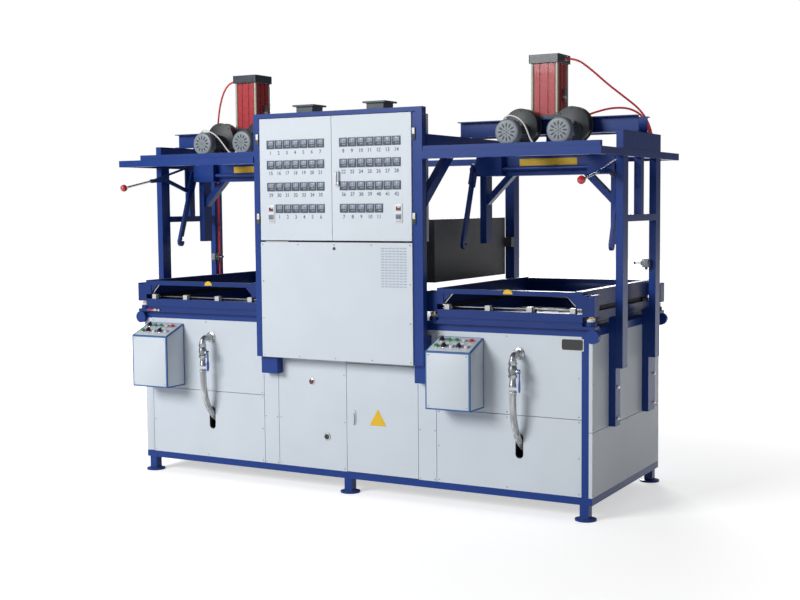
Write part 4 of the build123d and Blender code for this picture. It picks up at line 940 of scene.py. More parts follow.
CONTROLS = {
    ROW_OFF: (
        (selector, BLACK_PLASTIC), (button, GREEN), (button, GREEN), (button, CAP_WHITE),
        (button, CAP_RED),
    ),
    -ROW_OFF: (
        (button, GREEN), (selector, BLACK_PLASTIC), (button, CAP_WHITE), (selector, KNOB_BLUE),
        (button, CAP_WHITE),
    ),
}
tag = block((-0.0125, -0.0045, 0), (0.0125, 0.0045, 0.0022), CAP_WHITE, 0.0005)
tags = spread(tag, grid(COLUMNS, [y - 0.025 for y in (-ROW_OFF, ROW_OFF)]))
controls = [
    make(x, y, material)
    for y, row in CONTROLS.items()
    for x, (make, material) in zip(COLUMNS, row)
]
controls = onto_slope(join([*controls, tags]))
hand_in_pair("controls", "machine", [controls], "control_buttons_*")

# %% [markdown]
# Four blowers cool the sheets, two over each bed. The motor in front of each has a finned body,
# a wider fan cover whose openings are a rosette of black petals, painted shade of its dark inside,
# a small terminal box on its shoulder and four feet. Everything is modelled about an axis at x = 0
# and then copied to the four places.

# %% Blower motors
BLOWER_X = {"left": (-0.127, 0.175), "right": (-0.1, 0.204)}
MOTOR_FRONT, SHELF_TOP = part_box("blower_motors_left")[0].yz
MOTOR_Z = 2.062
MOTOR_AXIS = (0, MOTOR_FRONT, MOTOR_Z)
COVER_END = MOTOR_FRONT + 0.056
PALE_CAST = painted("cast grey", (0.24, 0.28, 0.315), (0.4, 0.44, 0.46), 0.34, 0.2, 0.5)
FACE_LEVELS = [(0.05, 0.001), (0.06, 0.001), (0.0665, 0.004), (0.0665, 0.006)]
COVER_LEVELS = [
    (0.0665, 0.005), (0.071, 0.009), (0.0728, 0.015), (0.0728, 0.05), (0.07, 0.056), (0.06, 0.056),
]
BODY_LEVELS = [(0.057, 0.056), (0.057, 0.162), (0.061, 0.164), (0.061, 0.188), (0.058, 0.19)]


def near_motor(low, high, material, edge):
    """A block whose depth counts from the end of the cover and its height from the axis."""
    corners = [(x, COVER_END + y, MOTOR_Z + z) for x, y, z in (low, high)]
    return block(*corners, material, edge)


def make_motor():
    shells = (FACE_LEVELS, PALE_CAST), (COVER_LEVELS, COVER), (BODY_LEVELS, MOTOR)
    parts = [turned(levels, MOTOR_AXIS, BACKWARD, paint, 40) for levels, paint in shells]
    fin = near_motor((-0.0014, 0, 0.055), (0.0014, 0.106, 0.0645), MOTOR, 0.0006)
    parts.append(around(fin, (0, COVER_END, MOTOR_Z), "Y", 26))
    # The cover's openings are not cut: flat black petals and slits on its face are painted shade.
    petal = turned([(0.007, 0), (0.0066, 0.0006)], (0, 0, 0), FORWARD, SOOT, 10)
    to_face = shift(0, MOTOR_FRONT + 0.0014, MOTOR_Z + 0.0385)
    petal.data.transform(to_face @ Matrix.Diagonal((0.72, 1, 2.0, 1)))
    parts.append(around(petal, MOTOR_AXIS, "Y", 12))
    low = (-0.0016, MOTOR_FRONT + 0.0006, MOTOR_Z + 0.011)
    slit = block(low, (0.0016, MOTOR_FRONT + 0.0014, MOTOR_Z + 0.021), SOOT, 0)
    parts.append(around(slit, MOTOR_AXIS, "Y", 6))
    cap = [(0.0075, 0), (0.0075, 0.0006), (0.006, 0.001)]
    gland = [(-0.031, COVER_END + y, MOTOR_Z + 0.06) for y in (0.014, -0.006)]
    parts += [
        facing(cap, 0, MOTOR_Z, COVER, 16, MOTOR_FRONT + 0.001),
        near_motor((-0.048, 0.012, 0.044), (-0.014, 0.062, 0.076), PALE_CAST, 0.003),
        rod(*gland, 0.008, WHITE_PLASTIC),
        near_motor((0.0435, 0.02, 0.038), (0.0475, 0.052, 0.056), WHITE_PLASTIC, 0.0006),
    ]
    low = (-0.012, COVER_END + 0.012, SHELF_TOP)
    foot = block(low, (0.012, COVER_END + 0.034, SHELF_TOP + 0.02), PALE_CAST, 0.002)
    head = (0, COVER_END + 0.023, SHELF_TOP + 0.0195)
    bolt = turned([(0.006, 0), (0.006, 0.004), (0.005, 0.005)], head, UP, STEEL, 6)
    feet = spread(join([foot, bolt]), grid((-0.042, 0.042), (0, 0.06)))
    return join([*parts, feet])


def hand_in_over_beds(name, piece, replaced):
    """Two copies over each bed, handed in as one piece for each station."""
    for side, offsets in BLOWER_X.items():
        pair = spread(moved_copy(piece, shift(STATION[side])), grid(offsets))
        hand_in(f"{name}_{side}", "machine", [pair], f"{replaced}_{side}")
    bpy.data.objects.remove(piece)


hand_in_over_beds("motors", make_motor(), "blower_motors")

# %% [markdown]
# Behind each motor sits the blower's scroll: two thin rims with a drum between them, an outlet
# that points down to the bed, and a bracket on the shelf. Bolts ring the front rim.

# %% Blower housings
BLOWER_Z = 2.098
BLOWER_R = 0.103
DRUM_R = 0.0975
NEAR, FAR = [corner.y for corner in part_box("blowers_left")]
BLOWER_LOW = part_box("blowers_left")[0].z


def make_blower():
    depth = FAR - NEAR
    front = [(BLOWER_R - 0.002, 0), (BLOWER_R, 0.0012), (BLOWER_R, 0.004), (0.098, 0.005)]
    drum = [(DRUM_R, 0.004), (DRUM_R, depth - 0.004)]
    back = [
        (0.098, depth - 0.005), (BLOWER_R, depth - 0.004), (BLOWER_R, depth - 0.0012),
        (BLOWER_R - 0.002, depth),
    ]
    axis = (0, NEAR, BLOWER_Z)
    parts = [turned(levels, axis, BACKWARD, SOOT, 56) for levels in (front, drum, back)]
    head = [(0.0042, 0), (0.0042, 0.003), (0.0034, 0.0036)]
    parts.append(around(facing(head, 0, BLOWER_Z + 0.092, SLATE, 6, NEAR), axis, "Y", 8))
    low, high = (0.005 - BLOWER_R, NEAR + 0.005, BLOWER_LOW), (-0.02, FAR - 0.005, BLOWER_Z)
    parts.append(block(low, high, SOOT, 0.0015))
    low, high = (0.003 - BLOWER_R, NEAR + 0.003, BLOWER_LOW), (-0.018, FAR - 0.003, BLOWER_LOW + 0.006)
    parts.append(block(low, high, SOOT, 0.001))
    low, high = (-0.02, NEAR + 0.006, SHELF_TOP), (0.02, FAR - 0.006, BLOWER_Z - 0.06)
    return join([*parts, block(low, high, SOOT, 0.001)])


hand_in_over_beds("scrolls", make_blower(), "blowers")

# %% [markdown]
# The air cylinders keep their solid barrels. What is added are the round tie rods with their
# nuts, the bolts at the foot, the push-in fittings at the ports and a small sensor on the side.

# %% Cylinder fittings
GOLD_ROD = painted("plated rod", (0.56, 0.58, 0.45), (0.66, 0.67, 0.58), 0.16, 0.05, 0.1, 0.3)
BARREL_FOOT = (0, AXIS_Y, SEAT_TOP)
FOOT_BOLT_OFF = 0.1
PORT_OFF, TOP_PORT = 0.0915, 2.481
LOW_PORT = (STATION["right"] + 0.117, AXIS_Y + 0.04, SEAT_TOP - 0.01)
tie = rod(BARREL_FOOT, (0, AXIS_Y, CAP_BOTTOM), 0.00822, GOLD_ROD, 24)
nut_levels = [(0.014, 0), (0.015, 0.001), (0.015, 0.011), (0.0135, 0.013)]
nut = turned(nut_levels, BARREL_FOOT, UP, STEEL, 6)
corners = [sign * TIE_OFF for sign in (-1, 1)]
ties = spread(join([tie, nut]), grid(corners, corners))
sensor = block((0.076, AXIS_Y + 0.012, 2.245), (0.088, AXIS_Y + 0.034, 2.315), COVER, 0.002)
low, high = (0.0755, AXIS_Y + 0.01, 2.262), (0.0895, AXIS_Y + 0.036, 2.276)
sensor_band = block(low, high, WHITE_PLASTIC, 0.001)
bolt_levels = [(0.011, 0), (0.012, 0.001), (0.012, 0.007), (0.0105, 0.009)]
foot_bolt = turned(bolt_levels, BARREL_FOOT, UP, STEEL, 6)
corners = [sign * FOOT_BOLT_OFF for sign in (-1, 1)]
foot_bolts = spread(foot_bolt, grid(corners, corners))
trim = [ties, sensor, sensor_band, foot_bolts]
hand_in_pair("cylinder_trim", "machine", trim)


def push_fitting(x, y, z, side):
    """A hexagon and a round collar on a port that looks sideways."""
    hexagon = [(0.0125, 0), (0.0135, 0.001), (0.0135, 0.009), (0.012, 0.01)]
    collar = [(0.0105, 0.01), (0.0105, 0.022), (0.009, 0.024)]
    rings = (hexagon, STEEL, 6), (collar, KNOB_RED, 20)
    return join([turned(levels, (x, y, z), (side, 0, 0), *look) for levels, *look in rings])


fittings = [
    push_fitting(STATION[name] + side * PORT_OFF, AXIS_Y, TOP_PORT, side)
    for name, side in SIDES.items()
]
hand_in("air_fittings", "machine", [*fittings, push_fitting(*LOW_PORT, 1)])

# %% [markdown]
# Air reaches the cylinders through red hoses. Each hose is one NURBS curve through the route's
# points, with a round bevel. The last long run hangs straight down to the bracket on the post,
# so one extra point near its upper corner keeps the bend short.

# %% Air hoses
HOSE_RED = painted("hose red", (0.8, 0.018, 0.045), (0.8, 0.06, 0.08), 0.2, 0.0, 0.08, 0.3)
AIR_DIAMETER = 0.012
AIR_ROUTES = {
    "left_upper": (
        (-1.1225, 0.531, 2.481), (-1.1975, 0.531, 2.481), (-1.2745, 0.557, 2.435),
        (-1.3475, 0.606, 2.356), (-1.4125, 0.666, 2.266), (-1.4675, 0.726, 2.161),
        (-1.5075, 0.771, 2.041), (-1.525, 0.798, 1.891), (-1.525, 0.798, 1.741),
        (-1.525, 0.798, 1.06),
    ),
    "right_upper": (
        (1.1225, 0.531, 2.481), (1.1875, 0.531, 2.481), (1.2545, 0.587, 2.423),
        (1.3275, 0.661, 2.341), (1.4075, 0.731, 2.266), (1.4725, 0.801, 2.201),
        (1.5125, 0.856, 2.116), (1.525, 0.883, 2.011), (1.525, 0.883, 1.906),
        (1.525, 0.883, 1.06),
    ),
    "right_lower": (
        (1.148, 0.571, 2.155), (1.21, 0.571, 2.155), (1.276, 0.615, 2.183),
        (1.348, 0.676, 2.207), (1.428, 0.736, 2.207), (1.49, 0.789, 2.167),
        (1.518, 0.826, 2.09), (1.525, 0.849, 1.985), (1.525, 0.849, 1.88),
        (1.525, 0.849, 1.06),
    ),
}
AIR_LENGTH = {"left_upper": 1.658, "right_upper": 1.706, "right_lower": 1.547}


def route_curve(name, points, diameter, material):
    """A smooth round cord: a NURBS curve with the route's points as its control points."""
    data = bpy.data.curves.new(name, "CURVE")
    data.dimensions = "3D"
    spline = data.splines.new("NURBS")
    spline.points.add(len(points) - 1)
    for control, point in zip(spline.points, points):
        control.co = (*point, 1)
    spline.order_u = 3
    spline.use_endpoint_u = True
    spline.resolution_u = 10
    data.bevel_depth = diameter / 2
    data.bevel_resolution = 3
    data.use_fill_caps = True
    data.materials.append(material)
    cord = bpy.data.objects.new(name, data)
    bpy.context.scene.collection.objects.link(cord)
    return cord


def declare(cord, length):
    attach(cord, "machine")
    print(cord.name, length, "m")


for name, points in AIR_ROUTES.items():
    hose = route_curve(f"red_hose_{name}", points, AIR_DIAMETER, HOSE_RED)
    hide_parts(f"air_hose_{name}")
    declare(hose, AIR_LENGTH[name])

# %% [markdown]
# A clear hose drains each bed. It leaves the valve straight down and bends back into the slot in
# the front panel. Its wall is thick and milky, with paler streaks along it.

# %% Drain hoses
TAP_OFF = 0.054
DRAIN_ROUTE = (
    (-0.11, 0.682), (-0.11, 0.594), (-0.096, 0.506), (-0.057, 0.428), (0.002, 0.366), (0.076, 0.326),
)
DRAIN_LENGTH, DRAIN_DIAMETER = 0.431, 0.038
MILK_DARK, MILK_PALE = (0.3, 0.31, 0.33, 1), (0.62, 0.63, 0.64, 1)
HOSE_CLEAR, tree, sockets = start_material("clear hose")
stretch = {"Vector": here(tree), "Scale": (130, 60, 5)}
streaks = noise(tree, wire(tree, "ShaderNodeMapping", stretch).outputs[0], 1.0, 2.0)
tone = blend(tree, remap(tree, streaks, 0.42, 0.62), MILK_DARK, MILK_PALE)
tree.links.new(tone, sockets["Base Color"])
sockets["Roughness"].default_value = 0.16
sockets["Coat Weight"].default_value = 0.4
for name, middle in STATION.items():
    points = [(middle + TAP_OFF, y, z) for y, z in DRAIN_ROUTE]
    hose = route_curve(f"clear_hose_{name}", points, DRAIN_DIAMETER, HOSE_CLEAR)
    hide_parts(f"drain_hose_{name}")
    declare(hose, DRAIN_LENGTH)

# %% [markdown]
# A thin rubber edging lines the slot that each drain hose goes into, and a black box closes it
# from behind as painted shade of the inside of the base. The edging starts as an open round tube,
# and its upper half is moved up.

# %% Slot edging
SLOT_LOW, SLOT_HIGH, SLOT_R = 0.3, 0.437, 0.023
bpy.ops.mesh.primitive_cylinder_add(
    vertices=40, radius=SLOT_R - 0.0002, depth=0.019, end_fill_type="NOTHING",
    location=(TAP_OFF, -0.0148, SLOT_LOW + SLOT_R), rotation=(math.pi / 2, 0, 0),
)
edging = settle(bpy.context.object, RUBBER)
for vertex in edging.data.vertices:
    if vertex.co.z > SLOT_LOW + SLOT_R + 0.0001:
        vertex.co.z += SLOT_HIGH - SLOT_LOW - 2 * SLOT_R
wall = edging.modifiers.new("wall", "SOLIDIFY")
wall.thickness = 0.0012
wall.offset = -1
alone(edging)
bpy.ops.object.modifier_apply(modifier="wall")
# The black box behind the slot is painted shade of the inside of the base.
slot_shade_box = block((TAP_OFF - 0.11, -0.004, 0.22), (TAP_OFF + 0.11, 0.118, 0.5), RUBBER)
sink(slot_shade_box, FORWARD, 0.003, 0.118, BLACK_PLASTIC)
hand_in_pair("slot_edging", "machine", [edging, slot_shade_box])

# %% [markdown]
# One motor of each pair has a white cable, which rises from its gland, crosses over the fan cover
# and drops to the bar under a motor, where it goes in.

# %% Motor cables
CABLES = {
    "left": (
        (-1.189, 0.206, 2.122), (-1.189, 0.188, 2.124), (-1.172, 0.172, 2.14), (-1.145, 0.168, 2.148),
        (-1.109, 0.17, 2.138), (-1.074, 0.172, 2.122), (-1.039, 0.174, 2.094), (-1.005, 0.175, 2.054),
        (-0.972, 0.176, 2.014), (-0.94, 0.182, 1.988), (-0.9, 0.192, 1.98),
    ),
    "right": (
        (0.9, 0.206, 2.122), (0.9, 0.188, 2.124), (0.912, 0.172, 2.142), (0.935, 0.168, 2.152),
        (0.965, 0.17, 2.15), (1.004, 0.172, 2.131), (1.033, 0.174, 2.097), (1.051, 0.175, 2.053),
        (1.068, 0.176, 2.012), (1.095, 0.178, 1.985), (1.138, 0.182, 1.97),
        (1.192, 0.186, 1.976),
    ),
}
CABLE_LENGTH = {"left": 0.378, "right": 0.412}
CABLE_DIAMETER = 0.009
for name, points in CABLES.items():
    cable = route_curve(f"motor_cable_{name}", points, CABLE_DIAMETER, WHITE_PLASTIC)
    declare(cable, CABLE_LENGTH[name])

# %% [markdown]
# The drain valve is a chromed elbow on a round flange, a ball valve between two hexagons and a
# hose tail with a worm-drive clip. The elbow is spun from a ring of vertices about its centre.

# %% Drain valves
CHROME = worked("chrome", (0.44, 0.455, 0.47), (30, 30, 30), 0.18, 0.03)
VALVE_GREY = worked("valve body", (0.24, 0.26, 0.28), (160, 160, 160), 0.3, 0.2)
PIPE_Y, PIPE_R = -0.11, 0.0165
ELBOW_Z, BEND = 0.87, 0.026
PIVOT_Z = 0.783
PIPE_HEXAGON = [(0.022, 0), (0.0235, 0.0015), (0.0235, 0.015), (0.022, 0.0165)]


def elbow(radius):
    """A quarter bend from level to upright, spun in edit mode."""
    centre = (TAP_OFF, PIPE_Y + BEND, ELBOW_Z)
    bpy.ops.mesh.primitive_circle_add(
        vertices=28, radius=radius, fill_type="NOTHING", location=centre, rotation=(math.pi / 2, 0, 0)
    )
    piece = settle(bpy.context.object, CHROME)
    hub = (TAP_OFF, PIPE_Y + BEND, ELBOW_Z - BEND)
    with editing("SELECT"):
        bpy.ops.mesh.spin(steps=10, angle=math.pi / 2, center=hub, axis=(-1, 0, 0))
        bpy.ops.mesh.select_all(action="SELECT")
        bpy.ops.mesh.remove_doubles(threshold=0.00005)
        bpy.ops.mesh.normals_make_consistent(inside=False)
    return piece


def level_pipe(levels, sides=28):
    """A turned part of the level pipe, from the front panel to the elbow."""
    return facing(levels, TAP_OFF, ELBOW_Z, CHROME, sides)


def upright(z, levels, sides=28, material=CHROME):
    """A turned part of the upright pipe, with its top at this height."""
    return turned(levels, (TAP_OFF, PIPE_Y, z), DOWN, material, sides)


BALL = [
    (PIPE_R, 0), (0.02, 0.006), (0.0235, 0.016), (0.0245, 0.026), (0.0235, 0.036), (0.02, 0.047),
    (PIPE_R, 0.053),
]
stem = [(0.0125, 0), (0.0125, 0.01), (0.0095, 0.012), (0.0095, 0.0135)]
valve_parts = [
    elbow(PIPE_R),
    level_pipe([(0.031, 0), (0.032, 0.001), (0.032, 0.005), (0.029, 0.007)], 40),
    level_pipe([(0.021, 0.006), (0.022, 0.007), (0.022, 0.019), (0.02, 0.021)], 6),
    level_pipe([(PIPE_R, 0.02), (PIPE_R, 0.06)]),
    level_pipe([(0.0185, 0.048), (0.0195, 0.05), (0.0195, 0.059), (0.0185, 0.061)]),
    upright(0.846, [(0.0185, 0), (0.0195, 0.002), (0.0195, 0.012), (0.0185, 0.014)]),
    upright(0.8325, PIPE_HEXAGON, 6),
    upright(0.817, BALL, 32, VALVE_GREY),
    upright(0.766, PIPE_HEXAGON, 6),
    upright(0.75, [(PIPE_R, 0), (PIPE_R, 0.03), (0.019, 0.034), (0.019, 0.052)]),
    turned(stem, (TAP_OFF + 0.022, PIPE_Y, PIVOT_Z), RIGHT, CHROME, 24),
    upright(0.677, [(0.0205, 0), (0.0212, 0.001), (0.0212, 0.011), (0.0205, 0.012)], 36),
]
low, high = (TAP_OFF - 0.007, PIPE_Y - 0.029, 0.6655), (TAP_OFF + 0.013, PIPE_Y - 0.019, 0.6765)
worm = block(low, high, CHROME, 0.0015)
head = [(0.0045, 0), (0.0045, 0.005), (0.0035, 0.006)]
worm_head = turned(head, (TAP_OFF + 0.013, PIPE_Y - 0.024, 0.671), RIGHT, CHROME, 6)
valve_parts += [worm, worm_head]
hand_in_pair("valve", "machine", valve_parts, "drain_valve_*")

# %% [markdown]
# The valve's lever is a blue plate that widens to a grip. It is a thin box that is cut across
# and widened between the cuts in edit mode, with a round boss and a nut at its pivot.

# %% Valve levers
LEVER_X = (TAP_OFF + 0.0362, TAP_OFF + 0.0398)
LEVER_HALF_W = 0.007
LEVER_CUTS = (0.735, 0.722, 0.686)
GRIP_LOW, GRIP_HIGH, GRIP_WIDER = 0.68, 0.73, 1.75
low, high = (LEVER_X[0], PIPE_Y - LEVER_HALF_W, 0.67), (LEVER_X[1], PIPE_Y + LEVER_HALF_W, 0.785)
lever = block(low, high, LEVER_BLUE, 0)
with editing():
    bpy.ops.mesh.select_mode(type="VERT")
    for height in LEVER_CUTS:
        bpy.ops.mesh.select_all(action="SELECT")
        bpy.ops.mesh.bisect(plane_co=(0, 0, height), plane_no=UP)
    bpy.ops.mesh.select_all(action="DESELECT")
for vertex in lever.data.vertices:
    vertex.select = GRIP_LOW < vertex.co.z < GRIP_HIGH
with editing():
    bpy.ops.transform.resize(value=(1, GRIP_WIDER, 1), center_override=(TAP_OFF, PIPE_Y, 0.7))
    bpy.ops.mesh.select_all(action="SELECT")
    bpy.ops.mesh.bevel(offset=0.0012, segments=2, affect="EDGES")
boss_place = (LEVER_X[0] + 0.0002, PIPE_Y, PIVOT_Z)
boss = turned([(0.0125, 0), (0.013, 0.0008), (0.013, 0.0035)], boss_place, RIGHT, LEVER_BLUE, 28)
nut_levels = [(0.0075, 0.003), (0.0082, 0.004), (0.0082, 0.008), (0.007, 0.009)]
nut = turned(nut_levels, (LEVER_X[0], PIPE_Y, PIVOT_Z), RIGHT, STEEL, 6)
hand_in_pair("valve_lever", "drain_tap_*", [lever, boss, nut], "drain_lever_*")

# %% [markdown]
# Small fittings give the sheet metal its scale: hinge leaves and knuckles, the pull on the right
# door, a lock, a vent, and on the front a push button, an air inlet and an edge strip.

# %% Console fittings
HINGE_X = {"left": -0.5167, "right": 0.4925}
HINGE_Z = (1.595, 2.057)
HINGE_FACE = DOOR_FACE - 0.006
PULL_X, PULL_Z, PULL_FACE = (0.002, 0.03), (1.78, 1.864), -0.1415
LOCK = (-0.012, 1.425)
VENT_X, VENT_Z = (0.2955, 0.3135), (1.2135, 1.218, 1.221)
VENT_STEP_X, VENT_STEP_Z = 0.0237, 0.0152
BUTTON, INLET = (-0.241, 0.638), (-0.139, 0.319)


def make_hinge(x, side, z):
    """A pale leaf, a dark sheet beside it that is painted shadow, the knuckle and a screw."""
    inner, middle, outer = x + side * 0.0065, x + side * 0.0125, x + side * 0.027
    pale, dark = sorted((inner, outer - side * 0.004)), sorted((middle, outer))
    low, high = (pale[0], HINGE_FACE, z - 0.004), (pale[1], HINGE_FACE + 0.003, z + 0.03)
    parts = [block(low, high, WHITE_PLASTIC, 0.001)]
    # The dark sheet beside the pale leaf is painted shadow.
    low, high = (dark[0], HINGE_FACE + 0.0008, z - 0.032), (dark[1], HINGE_FACE + 0.0035, z + 0.032)
    parts.append(block(low, high, SOOT, 0.001))
    knuckle = [(x + side * 0.0088, HINGE_FACE + 0.002, z - drop) for drop in (0.032, 0.003)]
    parts.append(rod(*knuckle, 0.005, MOTOR))
    screw = [(0.0035, 0), (0.0032, 0.0012)]
    return [*parts, facing(screw, x + side * 0.019, z + 0.013, STEEL, 10, HINGE_FACE)]


hinges = []
for name, side in SIDES.items():
    for z in HINGE_Z:
        hinges += make_hinge(HINGE_X[name], side, z)
hand_in("console_hinges", "machine", hinges)

low, high = (PULL_X[0], PULL_FACE, PULL_Z[0]), (PULL_X[1], PULL_FACE + 0.003, PULL_Z[1])
pull = block(low, high, WHITE_PLASTIC, 0.0012)
# The sunk face of the pull is grey: painted shade in its recess.
sink(pull, FORWARD, 0.003, 0.0012, SCREEN)
grip = block((0.0065, -0.1465, 1.786), (0.019, -0.1395, 1.858), WHITE_PLASTIC, 0.0018)
key = facing([(0.0048, 0), (0.0048, 0.002), (0.0035, 0.0026)], 0.0235, 1.795, STEEL, 16, -0.14)
hand_in("door_pull", "door_right", [pull, grip, key])

lock = facing([(0.0095, 0), (0.0095, 0.0018), (0.0075, 0.003)], *LOCK, MOTOR, 28, DOOR_FACE)
core = facing([(0.006, 0.0028), (0.0055, 0.0036)], *LOCK, BLACK_PLASTIC, 20, DOOR_FACE)
low, high = (VENT_X[0], DOOR_FACE - 0.0022, VENT_Z[1]), (VENT_X[1], DOOR_FACE + 0.001, VENT_Z[2])
louvre = block(low, high, PALE, 0.0006)
low, high = (VENT_X[0], DOOR_FACE - 0.0006, VENT_Z[0]), (VENT_X[1], DOOR_FACE + 0.001, VENT_Z[1])
shade = block(low, high, SCREEN, 0)
columns = [VENT_STEP_X * step for step in range(7)]
rows = [VENT_STEP_Z * step for step in range(15)]
vent = spread(join([louvre, shade]), grid(columns, zs=rows))
hand_in("console_vent", "machine", [lock, core, vent])

inlet_levels = [(0.022, 0), (0.023, 0.001), (0.023, 0.004), (0.0205, 0.006), (0.0165, 0.006)]
front_fittings = [
    facing([(0.0185, 0), (0.0185, 0.003), (0.0155, 0.005)], *BUTTON, STEEL, 28),
    facing([(0.0145, 0.004), (0.0145, 0.009), (0.0125, 0.0105)], *BUTTON, WINDOW_RED, 28),
    facing([*inlet_levels, (0.0155, 0.001)], *INLET, STEEL, 32),
    # The black disc at the bottom of the inlet's bore is painted shade.
    facing([(0.0155, 0.0002), (0.0155, 0.0012)], *INLET, SOOT, 24),
    block((-1.493, FRONT - 0.0012, 0.126), (-1.4415, FRONT + 0.0008, 0.972), PALE, 0.0005),
]
hand_in("front_fittings", "machine", front_fittings)

# %% [markdown]
# The stickers and plates are bare. Yellow strips stand on the press beams and half discs on the
# clamp frames, and a small triangle on the electrical door. A black plate is riveted to the base.

# %% Labels and plates
BEAM_FRONT, CLAMP_FRONT = 0.491, -0.055
LABEL_X = {"left": (-1.163, -0.813), "right": (0.863, 1.213)}
LABEL_Z = (1.886, 1.926)
DISC_X = {"left": -0.968, "right": 1.032}
DISC_Z, DISC_CUT = 1.186, 1.188
TRIANGLE = (0.206, 0.441)
PLATE_X, PLATE_Z = (1.325, 1.452), (0.898, 0.963)
for name, (low, high) in LABEL_X.items():
    corners = (low, BEAM_FRONT - 0.0012, LABEL_Z[0]), (high, BEAM_FRONT + 0.0005, LABEL_Z[1])
    strip = block(*corners, LABEL, 0.0004)
    sink(strip, FORWARD, 0.003, 0.0002, LABEL)
    hand_in(f"press_label_{name}", f"press_{name}", [strip])

for name, x in DISC_X.items():
    disc = facing([(0.028, 0), (0.028, 0.0008)], x, DISC_Z, LABEL, 40, CLAMP_FRONT)
    cut = {"plane_co": (x, 0, DISC_CUT), "plane_no": DOWN}
    with editing("SELECT"):
        bpy.ops.mesh.bisect(**cut, use_fill=True, clear_outer=True)
    hand_in(f"clamp_label_{name}", f"clamp_{name}", [disc])

outline = facing([(0.064, 0), (0.064, 0.0008)], *TRIANGLE, LABEL, 3)
inner = facing([(0.055, 0.0008), (0.0545, 0.0011)], *TRIANGLE, LABEL, 3)
hand_in("door_triangle", "electrics_door", [outline, inner])

low, high = (PLATE_X[0], FRONT - 0.0022, PLATE_Z[0]), (PLATE_X[1], FRONT - 0.0002, PLATE_Z[1])
plate = block(low, high, WHITE_PLASTIC, 0.0008)
sink(plate, FORWARD, 0.0035, 0.0005, BLACK_PLASTIC)
rivet = facing([(0.0026, 0), (0.0022, 0.0009)], 1.332, 0.905, STEEL, 10, FRONT - 0.002)
rivets = spread(rivet, grid((0, 0.113), zs=(0, 0.051)))
hand_in("bare_nameplate", "machine", [plate, rivets])

# %% [markdown]
# Between the clamp frames run polished bars, with clips beside the pads. A white wiper with a
# gilt band sits on each guide rod, and a spring latch holds the front of the left bed.

# %% Clamp fittings
GUIDE_X, GUIDE_Y = (-0.4575, 0.4575), (-0.018, 1.086)
SEAL_Z = (1.0935, 1.1225)
GILT = worked("gilt band", (0.62, 0.44, 0.16), (80, 80, 80), 0.16, 0.1)
wiper_levels = [(0.021, 1.0525), (0.0225, 1.054), (0.0225, 1.0655), (0.021, 1.067)]
wiper = turned(wiper_levels, (0, 0, 0), UP, WHITE_PLASTIC, 32)
gilt = turned([(0.0232, 1.067), (0.0232, 1.0735), (0.02, 1.0745)], (0, 0, 0), UP, GILT, 32)
wipers = spread(join([wiper, gilt]), grid(GUIDE_X, GUIDE_Y))
BAR_STEEL = worked("bar steel", (0.17, 0.18, 0.19), (20, 200, 200), 0.26, 0.05)
bar = rod((-0.43, 0.03, 1.104), (0.43, 0.03, 1.104), 0.006, BAR_STEEL, 20)
bars = spread(bar, [(0, y, z) for y, z in ((0, 0), (0.05, -0.004), (0.98, 0), (0.93, -0.004))])
holder = block((0.405, 0.018, 1.093), (0.423, 0.094, 1.112), BLACK_PLASTIC, 0.0015)
holders = spread(holder, grid((0, -0.828), (0, 0.918)))
side_seal = block((0.4, 0.0, SEAL_Z[0]), (0.408, 1.07, SEAL_Z[1]), RUBBER, 0.0015)
side_seals = spread(side_seal, grid((0, -0.808)))
rear_seal = block((-0.4, 1.052, SEAL_Z[0]), (0.4, 1.06, SEAL_Z[1]), RUBBER, 0.0015)
clip = block((0.021, -0.048, 1.096), (0.034, -0.022, 1.112), SOOT, 0.0015)
clips = spread(clip, grid((-0.367, -0.122, 0.122, 0.345), (0, 1.138)))
trim = [wipers, bars, holders, clips, side_seals, rear_seal]
hand_in_pair("clamp_trim", "machine", trim)

strut = rod((0.386, -0.035, 1.128), (0.335, -0.035, 1.184), 0.0045, STEEL, 14)
mirror = moved_copy(strut, Matrix.Rotation(math.pi, 4, "Z") @ shift(y=0.07))
rear_plate = block((-0.386, 1.089, 1.1255), (0.386, 1.095, 1.184), DEEP_BLUE, 0.001)
hand_in_pair("clamp_struts", "clamp_*", [strut, mirror, rear_plate])

LATCH_Y, LATCH_Z = -0.061, 1.026
latch = [
    rod((start, LATCH_Y, LATCH_Z), (end, LATCH_Y, LATCH_Z), radius, material)
    for start, end, radius, material in (
        (-1.438, -1.352, 0.005, CHROME), (-1.442, -1.405, 0.0065, KNOB_RED),
    )
]
for start, end in ((-1.395, -1.378), (-1.362, -1.348)):
    latch.append(block((start, -0.064, 1.019), (end, -0.054, 1.033), STEEL, 0.001))
hand_in("bed_latch", "machine", latch)

# %% [markdown]
# A limit switch on each rear post feels the clamp frame. It is a cast box with a lid on four
# screws, a round head, a steel arm with a roller and a gland for its cable.

# %% Limit switches
SWITCH_LOW, SWITCH_HIGH = (1.512, 0.731, 1.304), (1.55, 0.771, 1.35)
ARM_Y, ARM_Z = 0.751, 1.327


def level_rod(side, start, end, radius, material, sides):
    """A rod along X at the height of the switch's arm."""
    return rod((side * start, ARM_Y, ARM_Z), (side * end, ARM_Y, ARM_Z), radius, material, sides)


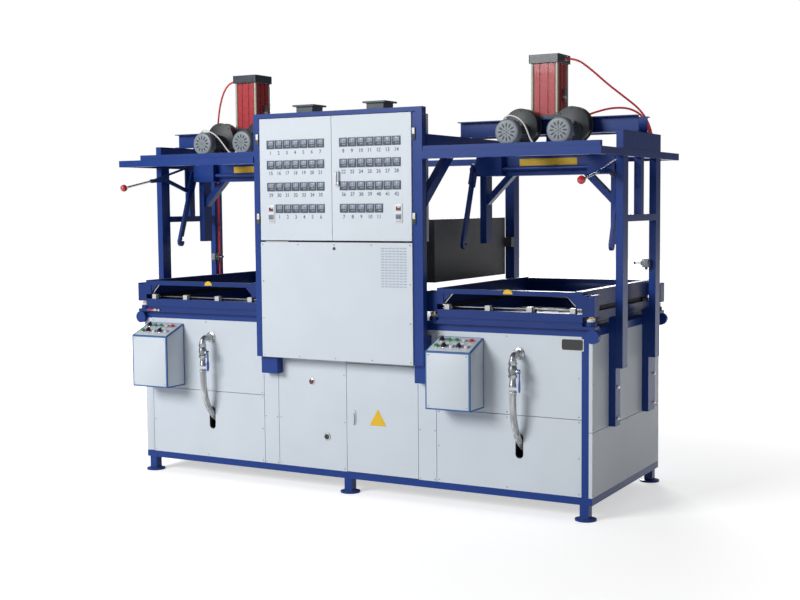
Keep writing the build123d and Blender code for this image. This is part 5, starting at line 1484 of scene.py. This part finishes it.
switch_parts = []
for side in SIDES.values():
    left, right = sorted(side * corner[0] for corner in (SWITCH_LOW, SWITCH_HIGH))
    low, high = (left, *SWITCH_LOW[1:]), (right, *SWITCH_HIGH[1:])
    gland = [(side * 1.531, ARM_Y, z) for z in (1.29, 1.306)]
    switch_parts += [
        block(low, high, COVER, 0.003),
        block((left + 0.003, 0.729, 1.307), (right - 0.003, 0.7315, 1.347), PALE_CAST, 0.0008),
        level_rod(side, 1.459, 1.515, 0.0032, CHROME, 16),
        level_rod(side, 1.5, 1.514, 0.012, COVER, 24),
        level_rod(side, 1.459, 1.466, 0.0075, BLACK_PLASTIC, 20),
        rod(*gland, 0.008, MOTOR, 6),
    ]
    screw = facing([(0.0022, 0), (0.002, 0.0008)], left + 0.007, 1.311, STEEL, 8, 0.7292)
    switch_parts.append(spread(screw, grid((0, 0.024), zs=(0, 0.032))))
hand_in("end_switches", "machine", switch_parts, "limit_switches")

# %% [markdown]
# Hexagon bolts hold the post brackets to the sides of the base. One bolt with its washer is
# turned and then copied to every hole.

# %% Bracket bolts
BRACKET_FACE = 1.5391
HOLE_Y, HOLE_Z = (0.257, 0.879), (0.51, 0.68, 0.85, 1.0)
washer = turned([(0.012, 0), (0.012, 0.0018)], (0, 0, 0), RIGHT, STEEL, 24)
head_levels = [(0.0085, 0.0018), (0.0092, 0.0025), (0.0092, 0.0075), (0.008, 0.009)]
head = turned(head_levels, (0, 0, 0), RIGHT, STEEL, 6)
right_bolts = spread(join([washer, head]), grid((BRACKET_FACE,), HOLE_Y, HOLE_Z))
left_bolts = moved_copy(right_bolts, Matrix.Rotation(math.pi, 4, "Z"))
left_bolts.data.transform(shift(y=sum(HOLE_Y)))
hand_in("bracket_bolts", "machine", [right_bolts, left_bolts])

# %% [markdown]
# Each solid takes its finish by the start of its name.

# %% Dress the solids
GROUPS = (
    (BLUE, "base_frame", "top_frame", "rail_frame", "side_beams", "centre_rear_posts"),
    (BLUE, "gantry_posts", "cross_channels", "press_frame", "console_frame"),
    (PALE, "front_panels", "rear_panels", "side_panels", "centre_panels", "centre_deck"),
    (PALE, "electrical_door", "console_door", "console_panel", "console_cabinet"),
    (DEEP_BLUE, "upper_clamp"),
    (LOWER_CLAMP, "lower_clamp"),
    (HOOKS, "hook_shaft"),
    (KNOB_RED, "lever_ball"),
    (TRIM_BLUE, "control_box"),
    (BLACK_PLASTIC, "control_buttons"),
    (ALUMINIUM, "bed"),
    (CYLINDER, "cylinder"),
    (BEZEL, "power_modules"),
    (OVEN, "heating_oven"),
    (CERAMIC, "heater_elements"),
    (COWL, "exhaust_cowls"),
    (STEEL, "drain_valve"),
    (LEVER_BLUE, "drain_lever"),
    (WHITE_PLASTIC, "drain_hose"),
    (RED, "air_hose"),
    (COVER, "limit_switches"),
    (SOOT, "blowers"),
    (MOTOR, "blower_motors"),
)
FINISH = {start: material for material, *starts in GROUPS for start in starts}
for name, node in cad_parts.items():
    starts = [start for start in FINISH if name.startswith(start)]
    node.material_slots[0].material = FINISH[max(starts, key=len)]
print("dressed", len(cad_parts), "solids")
